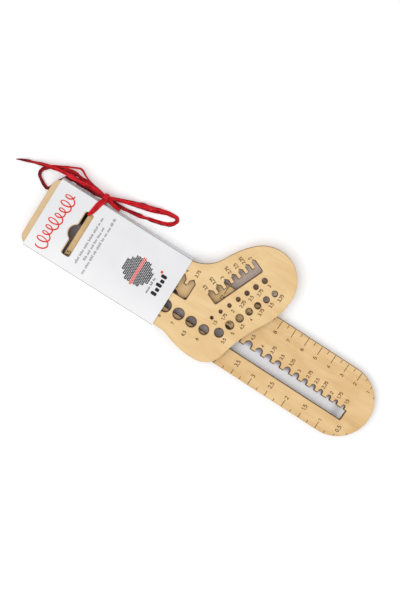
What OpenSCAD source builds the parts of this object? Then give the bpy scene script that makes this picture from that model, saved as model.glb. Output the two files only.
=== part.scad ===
// Set of two flat plywood needle gauges, a sock-shaped one and a long ruler, held together
// by a folded card sleeve with a hang slot and tied through that slot with a raffia bow.
// Millimetres, +Z up. The origin is under the middle of the sleeve, on the surface that the
// set lies on, and +X runs along the sleeve towards the ruler's round end.

/* [Plywood] */
// Thickness of both gauges
ply = 3; // [2.8:0.1:3.2]
// How much wider than its marked size each hole and notch is cut
ease = 0.2; // [0.1:0.05:0.3]

/* [Card sleeve] */
// Length of the sleeve along X
sleeve_l = 95.2; // [94:0.2:97]
// Width of the sleeve over its two folded edges
sleeve_w = 48.5; // [48.4:0.1:49.5]
// Thickness of the card
card = 0.35; // [0.3:0.05:0.4]
// Free height between neighbouring layers
layer_gap = 0.15; // [0.1:0.05:0.2]
// Height of the back panel above the surface, which leaves room for the raffia
lift = 0.6; // [0.6:0.05:0.8]
// Width of the glued lap under the back panel
lap_w = 12; // [8:1:16]

/* [Hang slot] */
// Width of the slot along X
hang_w = 6.4; // [6:0.1:7]
// Length of the slot along Y
hang_l = 31; // [28:0.5:32]
// Corner radius of the slot
hang_corner = 1.5; // [0.8:0.1:2]
// Radius of the round bulge that a peg sits in
hang_bulge_r = 5.6; // [5:0.1:6]

/* [Sock gauge] */
// Width of the leg
leg_w = 46.6; // [46:0.1:46.8]
// How far the cuff stands out of the sleeve
cuff_out = 3.9; // [2:0.1:6]
// Corner radius of the cuff
cuff_r = 6; // [4:0.5:8]
// Radius of the toe
toe_r = 22; // [21:0.1:23]
// Radius of the heel
heel_r = 14.5; // [14:0.1:15]

/* [Ruler gauge] */
// Width of the ruler
ruler_w = 46.6; // [46:0.1:46.6]
// Length from the straight end to the round tip
ruler_l = 218; // [214:1:222]
// Width of the long slot
slot_w = 6.9; // [6.5:0.1:7.5]

/* [Raffia] */
// Width of a loose strand
strand_w = 2; // [1.5:0.1:2.4]
// Thickness of a strand
strand_t = 0.5; // [0.4:0.05:0.6]
// Width of a strand where the tie pulls it together
tie_w = 1; // [0.8:0.1:1.2]
// Radius of the knot
knot_r = 2.3; // [2:0.1:2.5]

/* [Hidden] */

// Heights of the stacked layers
z_back = lift;
z_ruler = z_back + card + layer_gap;
z_sock = z_ruler + ply + layer_gap;
z_front = z_sock + ply + layer_gap;
sleeve_h = z_front + card - z_back;

card_color = [0.93, 0.93, 0.94];
sock_color = [0.92, 0.79, 0.6];
ruler_color = [0.89, 0.75, 0.55];
raffia_color = [0.8, 0.08, 0.14];

// Length of one straight piece on a curved outline
facet = 1.2;
// Length by which a cut runs past the face it starts from
past = 1;
fold_r = 0.6;
// How deep the lap is let into the back panel, so that the two are one solid
lap_bite = 0.1;

// Hang slot: middle of its straight part, middle of its bulge, and the shift of the sock's slot
hang_mid = [-21.8, -0.5];
bulge_mid = [-22.8, -0.4];
sock_hang_shift = 0.6;
bulge_fillet = 1.5;

// Centres and radii of the arcs that make the sock's outline. Each arc runs into the next
// without a corner, so most centres follow from the toe's and the heel's.
toe_c = [91.3, 36.3];
heel_c = [81, -14];
toe_axis = 67.5;
ball_r = 45;
ball_c = toe_c - (ball_r - toe_r) * [1, 0];
vamp_r = 60;
vamp_c = toe_c - (vamp_r - toe_r) * direction(2 * toe_axis);
instep_r = 22;
instep_c = fillet_centre(vamp_c, vamp_r, instep_r, leg_w / 2 + instep_r);
arch_r = 97;
arch_c = touching_centre(ball_c, ball_r, heel_c, heel_r, arch_r);
sole_r = 52;
sole_c = heel_c + (sole_r - heel_r) * direction(93);
ankle_r = 20;
ankle_c = fillet_centre(sole_c, sole_r, ankle_r, -leg_w / 2 - ankle_r);
cuff_x = -sleeve_l / 2 - cuff_out;

// Round holes of the sock: [marked size, place along the row]
leg_row = [[10, 24.1], [9, 36.5], [8, 47.9], [7, 58], [6.5, 67.3], [6, 76.7]];
leg_row_y = -9.5;
foot_row = [[5.5, 27.2], [5, 35.5], [4.5, 43.1], [4, 50.4], [3.75, 57], [3.5, 63.6], [3.25, 70]];
foot_row_g = 81.5;
small_row = [for (i = [0:6]) [1.5 + 0.25 * i, 29.1 + 6.75 * i]];
small_row_g = 71.2;

// Comb windows: marked sizes of the pointed notches, in the order in which they stand
leg_sizes = [3.75, 4, 4.5, 5, 5.5, 6, 6.5, 7, 8];
foot_sizes = [3.5, 3.25, 3, 2.75, 2.5, 2.25, 2];
comb_web = 2.6;
comb_corner = 0.9;
comb_channel = 4.3;
comb_depth = 5;
leg_window_x = 57;
leg_window_y = 0.3;
leg_channel = 8.4;
foot_window_f = 35.8;
foot_window_g = 65.5;

// Ruler: skew in the sleeve, about a point half-way along the length that is inside
ruler_skew = -0.9;
ruler_pivot = [12.5, 0];
ruler_tip = 195.5;
ruler_corner = 2;
slot_low = -10.1;
slot_start = 181;
slot_stop = 15.1;
notch_neck = 1.75;
// Round-topped notches: [marked size, distance from the round tip]
notches = [[1.5, 17.9], [1.75, 23.7], [2, 29], [2.25, 35.3], [2.5, 41], [2.75, 47.2], [3, 53.8],
    [3.25, 60.4], [3.5, 67.6], [3.75, 74.7], [4, 81.8], [4.5, 89.8], [5, 98.2], [5.5, 107.1],
    [6, 116.5], [6.5, 126.4], [7, 136.8], [8, 148], [9, 160.1], [10, 173.3]];

// Raffia: the knot, and the points that each strand runs through. The two tie strands run
// from the knot over the front panel, down through both slots and back under the sleeve.
knot_c = [-18.8, 27.6, 5];
tie_left = [[-19.6, 27, 6.4], [-20.6, 25.8, 7.6], [-21.6, 24, 8.05], [-22.2, 21, 8.05],
    [-22.7, 18, 8.05], [-23.1, 15, 8.05], [-23.3, 13.6, 7.7], [-23.35, 12.8, 6.6],
    [-23.35, 12.6, 4], [-23.35, 12.8, 1.4], [-23.2, 13.6, 0.5], [-22.6, 15.6, 0.3],
    [-21.8, 19, 0.3], [-20.8, 23, 0.3], [-20.2, 25.2, 0.4], [-19.6, 26.6, 1.8], [-19.2, 27.2, 3.4]];
tie_right = [[-18.8, 27, 6.6], [-19.3, 25.8, 7.7], [-20.2, 24, 8.05], [-21, 21, 8.05],
    [-21.6, 18, 8.05], [-22.2, 15.8, 8.05], [-22.9, 14.4, 7.9], [-23.3, 13.7, 7],
    [-23.35, 13.5, 4], [-23.3, 13.6, 1.4], [-22.6, 14.4, 0.5], [-21.6, 16.4, 0.3],
    [-20.6, 19, 0.3], [-19.4, 23, 0.3], [-18.9, 25.2, 0.4], [-18.6, 26.6, 1.8], [-18.6, 27.2, 3.4]];
loop_left = [[-19.6, 28, 5.2], [-23, 29.2, 5.4], [-27.5, 29.6, 5.6], [-32, 30, 5.6],
    [-36, 30.4, 5.2], [-41, 31, 4.8], [-45.6, 30.6, 4.4], [-50.4, 29, 3.8], [-55.6, 26.6, 3.2],
    [-59.4, 24.4, 2.6], [-61.4, 22.2, 2], [-62.2, 19.6, 1.6], [-61.4, 17.4, 1.3],
    [-59, 15.6, 1], [-56.2, 13.9, 0.8], [-53.8, 13, 0.6], [-51.8, 14, 0.4], [-50.6, 17, 0.28],
    [-49.4, 21, 0.28], [-46.4, 25, 0.28], [-42, 26, 0.4], [-36, 26, 0.6], [-31, 26, 1],
    [-26, 26.2, 2], [-22, 27, 3.4], [-19.6, 27.4, 4.2]];
loop_left_thin = [[-19.8, 28.2, 4.6], [-23.4, 29.2, 4.2], [-28.6, 30.4, 4.2], [-32.6, 31.4, 4.4],
    [-36.6, 33, 4.6], [-39.4, 34.6, 4.6], [-41.6, 35, 4.4], [-46, 33, 4], [-52, 29.6, 3.4],
    [-57, 27, 2.9], [-59.8, 25.2, 2.7]];
loop_right = [[-18, 28.2, 5.2], [-16.2, 29, 5.1], [-13.2, 30.4, 4.7], [-8.6, 32, 4], [-5, 33.2, 3.5],
    [0, 35, 3], [5, 36.6, 2.5], [10.6, 38, 2], [17.2, 39.6, 1.4], [22, 40.4, 1], [25.4, 40.4, 0.8],
    [26.7, 38.8, 0.6], [25.6, 36.2, 0.5], [23, 34.2, 0.4], [19, 32.6, 0.3], [14.6, 31.4, 0.3],
    [8, 29.8, 0.5], [1, 28.6, 0.8], [-4, 28, 1.3], [-8, 27.8, 2], [-12, 28, 3], [-15.2, 28.2, 4],
    [-18, 28, 4.6]];
loop_right_thin = [[-16.6, 28.6, 4.6], [-13, 29.8, 4.2], [-9, 31, 3.6], [-4.6, 32.2, 2.9],
    [0.6, 33.6, 2.3], [3.6, 34.2, 2], [7.2, 35, 1.6], [11.4, 36.2, 1.2], [15.8, 37.4, 0.8],
    [20, 38.4, 0.6]];
tails = [[-79.1, 18.1, 0.6], [-75.4, 19.9, 1], [-71.2, 21.6, 1.7], [-67.2, 23, 2.6],
    [-62.6, 24.7, 3.7], [-58.2, 26, 4.7], [-53.2, 27.3, 5.6], [-48, 28, 6.3], [-42.8, 28.3, 6.8],
    [-37.6, 28.5, 7], [-33, 29, 7.1], [-28, 29.2, 7], [-23.2, 28.8, 6.4], [-18.8, 28, 5.8],
    [-15.2, 27.4, 5.2], [-11.6, 26.6, 4.4], [-7.2, 25.9, 3.6]];

function direction(a) = [cos(a), sin(a)];
function angle_to(p, q) = atan2(q[1] - p[1], q[0] - p[0]);

// Points on an arc about c from angle a0 to angle a1, counter-clockwise if a1 is the larger
function arc(c, r, a0, a1) =
    let (n = max(2, ceil(abs(a1 - a0) * PI / 180 * r / facet)))
    [for (i = [0:n]) c + r * direction(a0 + (a1 - a0) * i / n)];

// Centre of an arc of radius r at height y that touches the circle (c, cr) from its left
function fillet_centre(c, cr, r, y) = [c[0] - sqrt(pow(cr + r, 2) - pow(c[1] - y, 2)), y];

// Centre of an arc of radius r that touches two circles from outside, on the left hand of
// someone who goes from the first centre to the second
function touching_centre(c1, r1, c2, r2, r) =
    let (d = norm(c2 - c1), u = (c2 - c1) / d,
        a = (pow(r1 + r, 2) - pow(r2 + r, 2) + d * d) / (2 * d),
        h = sqrt(pow(r1 + r, 2) - a * a))
    c1 + a * u + h * [-u[1], u[0]];

// Outline of the hang slot, moved along X by dx
function hang_outline(dx) =
    let (half = [hang_w, hang_l] / 2, mid = hang_mid + [dx, 0], bulge = bulge_mid + [dx, 0],
        left = mid[0] - half[0], k = hang_corner,
        reach = hang_bulge_r + bulge_fillet, side = left - bulge_fillet - bulge[0],
        rise = sqrt(reach * reach - side * side), turn = atan2(rise, side))
    concat(
        arc(mid + [half[0] - k, -half[1] + k], k, -90, 0),
        arc(mid + [half[0] - k, half[1] - k], k, 0, 90),
        arc(mid + [-half[0] + k, half[1] - k], k, 90, 180),
        arc([left - bulge_fillet, bulge[1] + rise], bulge_fillet, 0, turn - 180),
        arc(bulge, hang_bulge_r, turn, 360 - turn),
        arc([left - bulge_fillet, bulge[1] - rise], bulge_fillet, 180 - turn, 0),
        arc(mid + [-half[0] + k, -half[1] + k], k, 180, 270));

// Outline of the sock, from its cuff round the heel and the toe
function sock_outline() =
    let (sole_in = angle_to(ankle_c, sole_c), heel_out = angle_to(heel_c, arch_c),
        ball_in = angle_to(ball_c, arch_c), vamp_out = angle_to(vamp_c, instep_c),
        half = leg_w / 2)
    concat(
        arc([cuff_x + cuff_r, cuff_r - half], cuff_r, 180, 270),
        arc(ankle_c, ankle_r, 90, sole_in),
        arc(sole_c, sole_r, sole_in - 180, -87),
        arc(heel_c, heel_r, -87, heel_out),
        arc(arch_c, arch_r, heel_out + 180, ball_in + 180),
        arc(ball_c, ball_r, ball_in, 0),
        arc(toe_c, toe_r, 0, 2 * toe_axis),
        arc(vamp_c, vamp_r, 2 * toe_axis, vamp_out),
        arc(instep_c, instep_r, vamp_out - 180, -90),
        arc([cuff_x + cuff_r, half - cuff_r], cuff_r, 90, 180));

// Sum of the first n notch widths and the webs after them
function comb_place(sizes, n) = n == 0 ? 0 : comb_place(sizes, n - 1) + sizes[n - 1] + ease + comb_web;

// Outline of a comb window: a channel along u from 0, with pointed notches on its far side.
// The channel lies between v = 0 and v = channel, and a notch runs depth further.
function comb_outline(sizes, channel, depth) =
    let (last = len(sizes) - 1, total = comb_place(sizes, last) + sizes[last] + ease, k = comb_corner)
    concat(
        arc([k, k], k, 180, 270),
        arc([total - k, k], k, -90, 0),
        [for (i = [last:-1:0])
            let (w = sizes[i] + ease, u = comb_place(sizes, i), point = min(w / 2, depth - 0.8))
            each [[u + w, channel], [u + w, channel + depth - point],
                [u + w / 2, channel + depth], [u, channel + depth - point], [u, channel]]]);

// Outline of the ruler's long slot with its round-topped notches, x measured from the tip
function slot_outline() =
    let (high = slot_low + slot_w, k = 0.8)
    concat(
        [[-slot_stop, high]],
        [for (n = notches)
            let (r = (n[0] + ease) / 2)
            each concat([[r - n[1], high]],
                arc([-n[1], high + notch_neck], r, 0, 180),
                [[-r - n[1], high]])],
        [[-slot_start, high]],
        arc([k - slot_start, slot_low + k], k, 180, 270),
        arc([-slot_stop - k, slot_low + k], k, -90, 0));

// Points on a smooth curve through the route's points, pieces steps to each span
function smooth(p, pieces) =
    let (n = len(p) - 1)
    [for (i = [0:n - 1], j = [0:pieces - 1])
        let (a = p[max(i - 1, 0)], b = p[i], c = p[i + 1], d = p[min(i + 2, n)], t = j / pieces)
        b + t / 2 * (c - a) + t * t / 2 * (2 * a - 5 * b + 4 * c - d)
            + t * t * t / 2 * (3 * b - a - 3 * c + d),
        p[n]];

function unit(v) = v / norm(v);

// A flat strand swept along points: an oval of width w and thickness t with 8 sides, its width
// lying level, or along X where the strand turns down through the slot
module strand(points, w, t, along_x = false) {
    last = len(points) - 1;
    rings = [for (i = [0:last])
        let (ahead = unit(points[min(i + 1, last)] - points[max(i - 1, 0)]),
            side = along_x ? unit([1, 0, 0] - ahead[0] * ahead) : unit(cross([0, 0, 1], ahead)),
            up = cross(ahead, side))
        each [for (k = [0:7]) points[i] + w / 2 * cos(45 * k) * side + t / 2 * sin(45 * k) * up]];
    sides = [for (i = [0:last - 1], k = [0:7])
        let (a = 8 * i + k, b = 8 * i + (k + 1) % 8)
        each [[a, a + 8, b], [b, a + 8, b + 8]]];
    ends = [[for (k = [0:7]) k], [for (k = [7:-1:0]) 8 * last + k]];
    color(raffia_color) polyhedron(rings, concat(sides, ends));
}

// A row of round holes through the plywood, standing along x at a fixed y
module row_of_holes(row, y) {
    for (hole = row)
        translate([hole[1], y, -past]) cylinder(h = ply + 2 * past, d = hole[0] + ease, $fn = 64);
}

// Sock-shaped gauge, with three rows of holes, two comb windows and its own hang slot
module sock_gauge() {
    color(sock_color)
    translate([0, 0, z_sock])
    difference() {
        linear_extrude(ply) polygon(sock_outline());
        translate([0, 0, -past]) linear_extrude(ply + 2 * past) {
            polygon(hang_outline(sock_hang_shift));
            translate([leg_window_x, leg_window_y]) mirror([1, 0])
                polygon(comb_outline(leg_sizes, leg_channel, comb_depth));
            rotate(toe_axis) translate([foot_window_f, -foot_window_g])
                polygon(comb_outline(foot_sizes, comb_channel, comb_depth));
        }
        row_of_holes(leg_row, leg_row_y);
        rotate(toe_axis) {
            row_of_holes(foot_row, -foot_row_g);
            row_of_holes(small_row, -small_row_g);
        }
    }
}

// Ruler gauge, one straight end inside the sleeve and one round end outside it
module ruler_gauge() {
    half = ruler_w / 2;
    color(ruler_color)
    translate([ruler_pivot[0], ruler_pivot[1], z_ruler])
    rotate(ruler_skew)
    translate([ruler_tip - ruler_pivot[0], 0, 0])
    difference() {
        linear_extrude(ply) polygon(concat(
            arc([ruler_corner - ruler_l, ruler_corner - half], ruler_corner, 180, 270),
            arc([-half, 0], half, -90, 90),
            arc([ruler_corner - ruler_l, half - ruler_corner], ruler_corner, 90, 180)));
        translate([0, 0, -past]) linear_extrude(ply + 2 * past) polygon(slot_outline());
    }
}

// Corner points of a box in the y-z plane with rounded corners
function rounded_box(low, high, r) = concat(
    arc(low + [r, r], r, 180, 270), arc([high[0] - r, low[1] + r], r, -90, 0),
    arc(high - [r, r], r, 0, 90), arc([low[0] + r, high[1] - r], r, 90, 180));

// Card sleeve, folded from one blank: two panels, two narrow sides and a glued lap
module card_sleeve() {
    half = sleeve_w / 2;
    color(card_color)
    difference() {
        translate([-sleeve_l / 2, 0, 0]) rotate([90, 0, 90]) linear_extrude(sleeve_l) {
            difference() {
                polygon(rounded_box([-half, z_back], [half, z_back + sleeve_h], fold_r));
                polygon(rounded_box([card - half, z_back + card],
                    [half - card, z_back + sleeve_h - card], fold_r - card));
            }
            translate([fold_r - half, z_back - card]) square([lap_w, card + lap_bite]);
        }
        translate([0, 0, z_back - past]) linear_extrude(sleeve_h + 2 * past)
            polygon(hang_outline(0));
    }
}

// Knot, a small lump of two drawn-up turns
module raffia_knot() {
    color(raffia_color) translate(knot_c) sphere(r = knot_r, $fn = 48);
}

module raffia_tie_left() { strand(smooth(tie_left, 2), tie_w, strand_t, along_x = true); }
module raffia_tie_right() { strand(smooth(tie_right, 2), tie_w, strand_t, along_x = true); }
module raffia_loop_left() { strand(smooth(loop_left, 1), strand_w, strand_t); }
module raffia_loop_left_thin() { strand(smooth(loop_left_thin, 1), strand_w / 2, strand_t); }
module raffia_loop_right() { strand(smooth(loop_right, 1), strand_w, strand_t); }
module raffia_loop_right_thin() { strand(smooth(loop_right_thin, 1), strand_w / 2, strand_t); }
module raffia_tails() { strand(smooth(tails, 1), strand_w, strand_t); }

card_sleeve();
sock_gauge();
ruler_gauge();
raffia_knot();
raffia_tie_left();
raffia_tie_right();
raffia_loop_left();
raffia_loop_left_thin();
raffia_loop_right();
raffia_loop_right_thin();
raffia_tails();
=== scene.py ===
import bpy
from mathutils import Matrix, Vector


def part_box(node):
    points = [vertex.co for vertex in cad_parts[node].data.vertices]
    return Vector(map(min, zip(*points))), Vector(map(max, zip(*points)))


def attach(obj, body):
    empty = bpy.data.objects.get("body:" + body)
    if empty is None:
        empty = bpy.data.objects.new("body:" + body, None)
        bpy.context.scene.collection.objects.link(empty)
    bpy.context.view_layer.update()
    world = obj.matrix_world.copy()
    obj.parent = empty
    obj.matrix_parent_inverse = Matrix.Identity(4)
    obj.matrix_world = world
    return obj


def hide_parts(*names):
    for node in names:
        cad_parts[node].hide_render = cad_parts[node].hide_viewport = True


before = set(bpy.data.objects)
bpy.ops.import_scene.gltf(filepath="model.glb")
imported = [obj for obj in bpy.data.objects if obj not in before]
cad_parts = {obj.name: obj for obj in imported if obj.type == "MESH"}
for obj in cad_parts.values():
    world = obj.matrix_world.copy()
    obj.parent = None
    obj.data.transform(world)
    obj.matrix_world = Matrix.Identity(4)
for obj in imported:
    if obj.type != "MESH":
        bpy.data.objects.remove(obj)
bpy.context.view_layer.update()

"""Needle gauge set: a sock-shaped and a ruler-shaped plywood gauge in a folded card sleeve,
tied with a red raffia bow. Lengths in the classes are millimetres; meshes are in metres."""

import logging
import math
from dataclasses import dataclass, field
from enum import Enum
from typing import Any, Callable, Dict, List, Mapping, Optional, Sequence, Tuple, Union

import bpy
import numpy as np
from mathutils import Matrix, Vector
from mathutils.geometry import delaunay_2d_cdt

LOG = logging.getLogger("needle_gauges")
MM = 0.001
QUARTER_INCH, HALF_INCH, HALF_CENTIMETRE = 6.35, 12.7, 5.0
Colour = Tuple[float, float, float, float]
Point = Tuple[float, float, float]
Array = np.ndarray
Patch = Tuple[Array, Array]  # points, and faces as indices into them
Material = bpy.types.Material
Object = bpy.types.Object


class Body(Enum):
    """Bodies of the frame that a piece can ride on."""

    SLEEVE = "sleeve"
    SOCK = "sock"
    RULER = "ruler"


class Slot(Enum):
    """Material slots that a piece carries."""

    CARD = "card"
    BIRCH_LIGHT = "birch_light"
    BIRCH_WARM = "birch_warm"
    RAFFIA = "raffia"
    ENGRAVING = "engraving"
    PRINT = "print"


# ---------------------------------------------------------------- shader wrapper


def combining(operation: str, swapped: bool = False) -> Callable[["Signal", "Value"], "Signal"]:
    """A method of Signal that adds one Math node.

    Args:
        operation: The Math node's operation.
        swapped: Whether the other value comes first.

    Returns:
        The method, which takes the other value and gives the node's result.
    """

    def method(self: "Signal", other: "Value") -> "Signal":
        """Combine the signal with another value."""
        values = {0: other, 1: self} if swapped else {0: self, 1: other}
        return self.recipe.node("ShaderNodeMath", {"operation": operation}, values)

    return method


class Signal:
    """One output socket of a node tree, with arithmetic that adds Math nodes."""

    def __init__(self, recipe: "Recipe", socket: bpy.types.NodeSocket) -> None:
        """Keep the recipe and the socket.

        Args:
            recipe: The material recipe that the socket belongs to.
            socket: The output socket.
        """
        self.recipe = recipe
        self.socket = socket

    __add__, __radd__ = combining("ADD"), combining("ADD", swapped=True)
    __sub__, __mul__ = combining("SUBTRACT"), combining("MULTIPLY")
    __truediv__, __pow__ = combining("DIVIDE"), combining("POWER")
    either = combining("MAXIMUM")

    def __abs__(self) -> "Signal":
        """Absolute value."""
        return combining("ABSOLUTE")(self, 0.0)

    def step(self, low: float, high: float) -> "Signal":
        """Smooth step from 0 at low to 1 at high.

        Args:
            low: Value that gives 0.
            high: Value that gives 1, which may be the smaller of the two.

        Returns:
            The stepped value.
        """
        start, stop, first, last = (low, high, 0.0, 1.0) if low < high else (high, low, 1.0, 0.0)
        return self.recipe.node(
            "ShaderNodeMapRange",
            {"interpolation_type": "SMOOTHSTEP"},
            {"Value": self, "From Min": start, "From Max": stop, "To Min": first, "To Max": last},
        )


Value = Union[Signal, float, Tuple[float, ...]]


class Recipe:
    """Writes the nodes of one material."""

    def __init__(self, name: str) -> None:
        """Start an empty material.

        Args:
            name: The material's name.
        """
        self.material = bpy.data.materials.new(name)
        self.material.use_nodes = True
        self.tree = self.material.node_tree
        self.tree.nodes.clear()

    def node(
        self,
        kind: str,
        settings: Optional[Mapping[str, Any]] = None,
        values: Optional[Mapping[Union[int, str], Value]] = None,
        output: Union[int, str] = 0,
    ) -> Signal:
        """Add a node, set its settings, then fill or link its sockets.

        Args:
            kind: The node's type.
            settings: Its attributes.
            values: Socket index or name to a number, a tuple or a signal.
            output: Which output socket to return.

        Returns:
            The chosen output socket.
        """
        made = self.tree.nodes.new(kind)
        for key, value in (settings or {}).items():
            setattr(made, key, value)
        for key, value in (values or {}).items():
            if isinstance(value, Signal):
                self.tree.links.new(value.socket, made.inputs[key])
            else:
                made.inputs[key].default_value = value
        return Signal(self, made.outputs[output])

    def scaled(self, vector: Signal, factor: Point) -> Signal:
        """A vector with each part multiplied by its own factor.

        Args:
            vector: The vector.
            factor: Factor on each axis.

        Returns:
            The product.
        """
        return self.node("ShaderNodeVectorMath", {"operation": "MULTIPLY"}, {0: vector, 1: factor})

    def place(self, stretch: Point = (1.0, 1.0, 1.0)) -> Signal:
        """Object coordinates in millimetres, stretched along each axis.

        Args:
            stretch: Factor on each axis.

        Returns:
            The vector.
        """
        coordinates = self.node("ShaderNodeTexCoord", output="Object")
        return self.scaled(coordinates, tuple(s / MM for s in stretch))

    def axis(self, index: int, vector: Optional[Signal] = None) -> Signal:
        """One part of a vector.

        Args:
            index: 0, 1 or 2 for X, Y or Z.
            vector: The vector, by default the place in millimetres.

        Returns:
            The part.
        """
        return self.node("ShaderNodeSeparateXYZ", None, {0: vector or self.place()}, index)

    def attribute(self, name: str) -> Signal:
        """A number that the mesh carries at each point.

        Args:
            name: The attribute's name.

        Returns:
            Its value.
        """
        return self.node("ShaderNodeAttribute", {"attribute_name": name}, output="Fac")

    def noise(
        self, vector: Signal, scale: float, detail: float = 3.0, warp: float = 0.0
    ) -> Signal:
        """Cloudy noise between 0 and 1.

        Args:
            vector: Where to read it.
            scale: Its frequency.
            detail: Number of finer layers.
            warp: Distortion.

        Returns:
            The noise.
        """
        values = {"Vector": vector, "Scale": scale, "Detail": detail, "Distortion": warp}
        return self.node("ShaderNodeTexNoise", None, values)

    def mix(self, factor: Value, first: Value, second: Value) -> Signal:
        """Mix two colours.

        Args:
            factor: 0 for the first, 1 for the second.
            first: First colour.
            second: Second colour.

        Returns:
            The mixed colour.
        """
        settings = {"data_type": "RGBA", "blend_type": "MIX"}
        return self.node("ShaderNodeMix", settings, {0: factor, 6: first, 7: second}, 2)

    def coats(self, colour: Value, *coats: Tuple[Value, Point]) -> Value:
        """Lay plain colours over a colour, one after another.

        Args:
            colour: The colour underneath.
            *coats: Cover between 0 and 1, and the red, green and blue, of each coat.

        Returns:
            The covered colour.
        """
        for cover, shade in coats:
            colour = self.mix(cover, colour, (*shade, 1.0))
        return colour

    def relief(self, height: Signal, depth: float, strength: float) -> Signal:
        """Bump from a height between 0 and 1.

        Args:
            height: The height.
            depth: Distance in millimetres that 1 stands for.
            strength: Strength of the effect.

        Returns:
            The bumped normal.
        """
        values = {"Strength": strength, "Distance": depth * MM, "Height": height}
        return self.node("ShaderNodeBump", None, values)

    def finish(self, **values: Value) -> Material:
        """Add the surface shader and the output.

        Args:
            **values: Socket names, with _ for a space, to values or signals.

        Returns:
            The finished material.
        """
        named = {key.replace("_", " "): value for key, value in values.items()}
        shader = self.node("ShaderNodeBsdfPrincipled", None, named)
        output = self.tree.nodes.new("ShaderNodeOutputMaterial")
        self.tree.links.new(shader.socket, output.inputs["Surface"])
        return self.material


# ---------------------------------------------------------------- finishes


@dataclass(frozen=True)
class PlywoodFinish:
    """Sanded birch plywood with its grain along X and laser-charred edges."""

    name: str
    low: float
    thickness: float
    light: Colour
    middle: Colour
    dark: Colour
    offset: float

    def build(self) -> Material:
        """Make the material.

        The faces mix three wood colours by a broad figure, long fibres and short flecks.
        The walls of the cuts are charred, with the three plies as bands of their height.

        Returns:
            The material.
        """
        r = Recipe(self.name)
        shift = (self.offset, self.offset * 0.7, 0.0)
        base = r.node("ShaderNodeVectorMath", {"operation": "ADD"}, {0: r.place(), 1: shift})

        def stretched(x: float, y: float, z: float) -> Signal:
            """The shifted coordinates with each axis scaled."""
            return r.scaled(base, (x, y, z))

        figure = r.noise(stretched(0.012, 0.075, 0.05), 1.0, 3.0, 1.6)
        band = r.noise(stretched(0.006, 0.32, 0.05), 1.0, 3.0, 0.5)
        fibre = r.noise(stretched(0.05, 2.1, 0.4), 1.0, 4.0, 0.2)
        fleck = r.noise(stretched(0.28, 2.6, 0.5), 1.0, 2.0, 0.1).step(0.64, 0.76)
        mottle = r.noise(stretched(0.045, 0.1, 0.2), 1.0, 4.0, 1.2)
        tone = (figure * 0.45 + band * 0.12 + mottle * 0.43).step(0.34, 0.66)
        wood = r.mix(tone, self.light, self.middle)
        dark = self.dark[:3]
        wood = r.coats(wood, (fibre.step(0.42, 0.78) * 0.17, dark), (fleck * 0.17, dark))
        # Painted shade: the wood darker towards its -X end, past X = -46.
        wood = r.coats(wood, (r.axis(0).step(-46.0, -49.0) * 0.55, (0.62, 0.46, 0.29)))

        soot = r.noise(stretched(1.7, 1.7, 0.4), 1.0, 4.0, 0.2)
        level = (r.axis(2) - self.low) / self.thickness
        seam = abs(level - 0.5)
        glue = seam.step(0.13, 0.17) * seam.step(0.23, 0.19)
        wall = r.coats(
            (0.08, 0.037, 0.016, 1.0),
            (soot.step(0.35, 0.72), (0.25, 0.13, 0.055)),
            (glue * 0.75, (0.022, 0.011, 0.006)),
            (seam.step(0.4, 0.5) * 0.6, (0.03, 0.015, 0.008)),
        )
        slope = abs(r.axis(2, r.node("ShaderNodeTexCoord", output="Normal")))
        cut = slope.step(0.7, 0.5)

        # The rims' attribute "scorch": char at the cuts, with painted shade on one side of each
        # cut.
        ragged = r.attribute("scorch") * (0.75 + soot * 0.5)
        wood = r.coats(
            wood,
            (ragged.step(0.0, 1.0) * 0.6, (0.36, 0.17, 0.055)),
            (ragged.step(0.32, 0.8) * 0.95, (0.055, 0.024, 0.01)),
        )
        colour = r.mix(cut, wood, wall)

        shine = 0.52 + fibre * 0.14 + cut * 0.2
        relief = r.relief(fibre * 0.7 + mottle * 0.3 + soot * cut * 2.0, 0.05, 0.35)
        return r.finish(Base_Color=colour, Roughness=shine, Normal=relief)


@dataclass(frozen=True)
class CardFinish:
    """Smooth coated white card with a faint fibre."""

    name: str = "coated_card"

    def build(self) -> Material:
        """Make the material: two near whites mixed by clouds and, as painted shade, across the
        panel, a fine felt relief, and a grey inside and a dark line along the folds, both
        painted shade.

        Returns:
            The material.
        """
        r = Recipe(self.name)
        cloud = r.noise(r.place((0.05, 0.05, 0.05)), 1.0, 4.0, 0.4)
        felt = r.noise(r.place((2.4, 2.4, 2.4)), 1.0, 3.0)
        scuff = r.noise(r.place((0.5, 3.0, 1.0)), 1.0, 2.0).step(0.68, 0.8)
        side = r.axis(1)
        # Painted shade: the greyer white grows from the -Y edge towards the middle, besides the
        # clouds.
        tone = cloud.step(0.3, 0.7) * 0.3 + side.step(-24.0, -2.0) * 0.7
        place = r.node("ShaderNodeVectorMath", {"operation": "ABSOLUTE"}, {0: r.place()})
        across, height = r.axis(1, place), r.axis(2, place)
        # Painted shade: the inside faces of the sleeve, and the outer edges of the front panel's
        # folds.
        inside_shade = across.step(23.97, 23.9) * height.step(7.46, 7.42) * height.step(0.9, 0.94)
        line = across.step(23.85, 24.0) * height.step(7.2, 7.35)
        white = r.coats(
            (0.885, 0.885, 0.895, 1.0),
            (tone, (0.775, 0.775, 0.79)),
            (scuff * 0.06, (0.5, 0.5, 0.5)),
            # Painted shade: grey near both folds, the inside dark, and a dark line at the front
            # folds, darker on -Y.
            (across.step(23.5, 23.95) * 0.3, (0.42, 0.42, 0.43)),
            (inside_shade, (0.22, 0.205, 0.195)),
            (line * (0.5 + side.step(0.0, -1.0) * 0.4), (0.1, 0.1, 0.105)),
        )
        relief = r.relief(felt * 0.6 + cloud * 0.4, 0.02, 0.25)
        return r.finish(
            Base_Color=white, Roughness=0.4 + felt * 0.12, Normal=relief, Coat_Weight=0.12
        )


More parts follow.
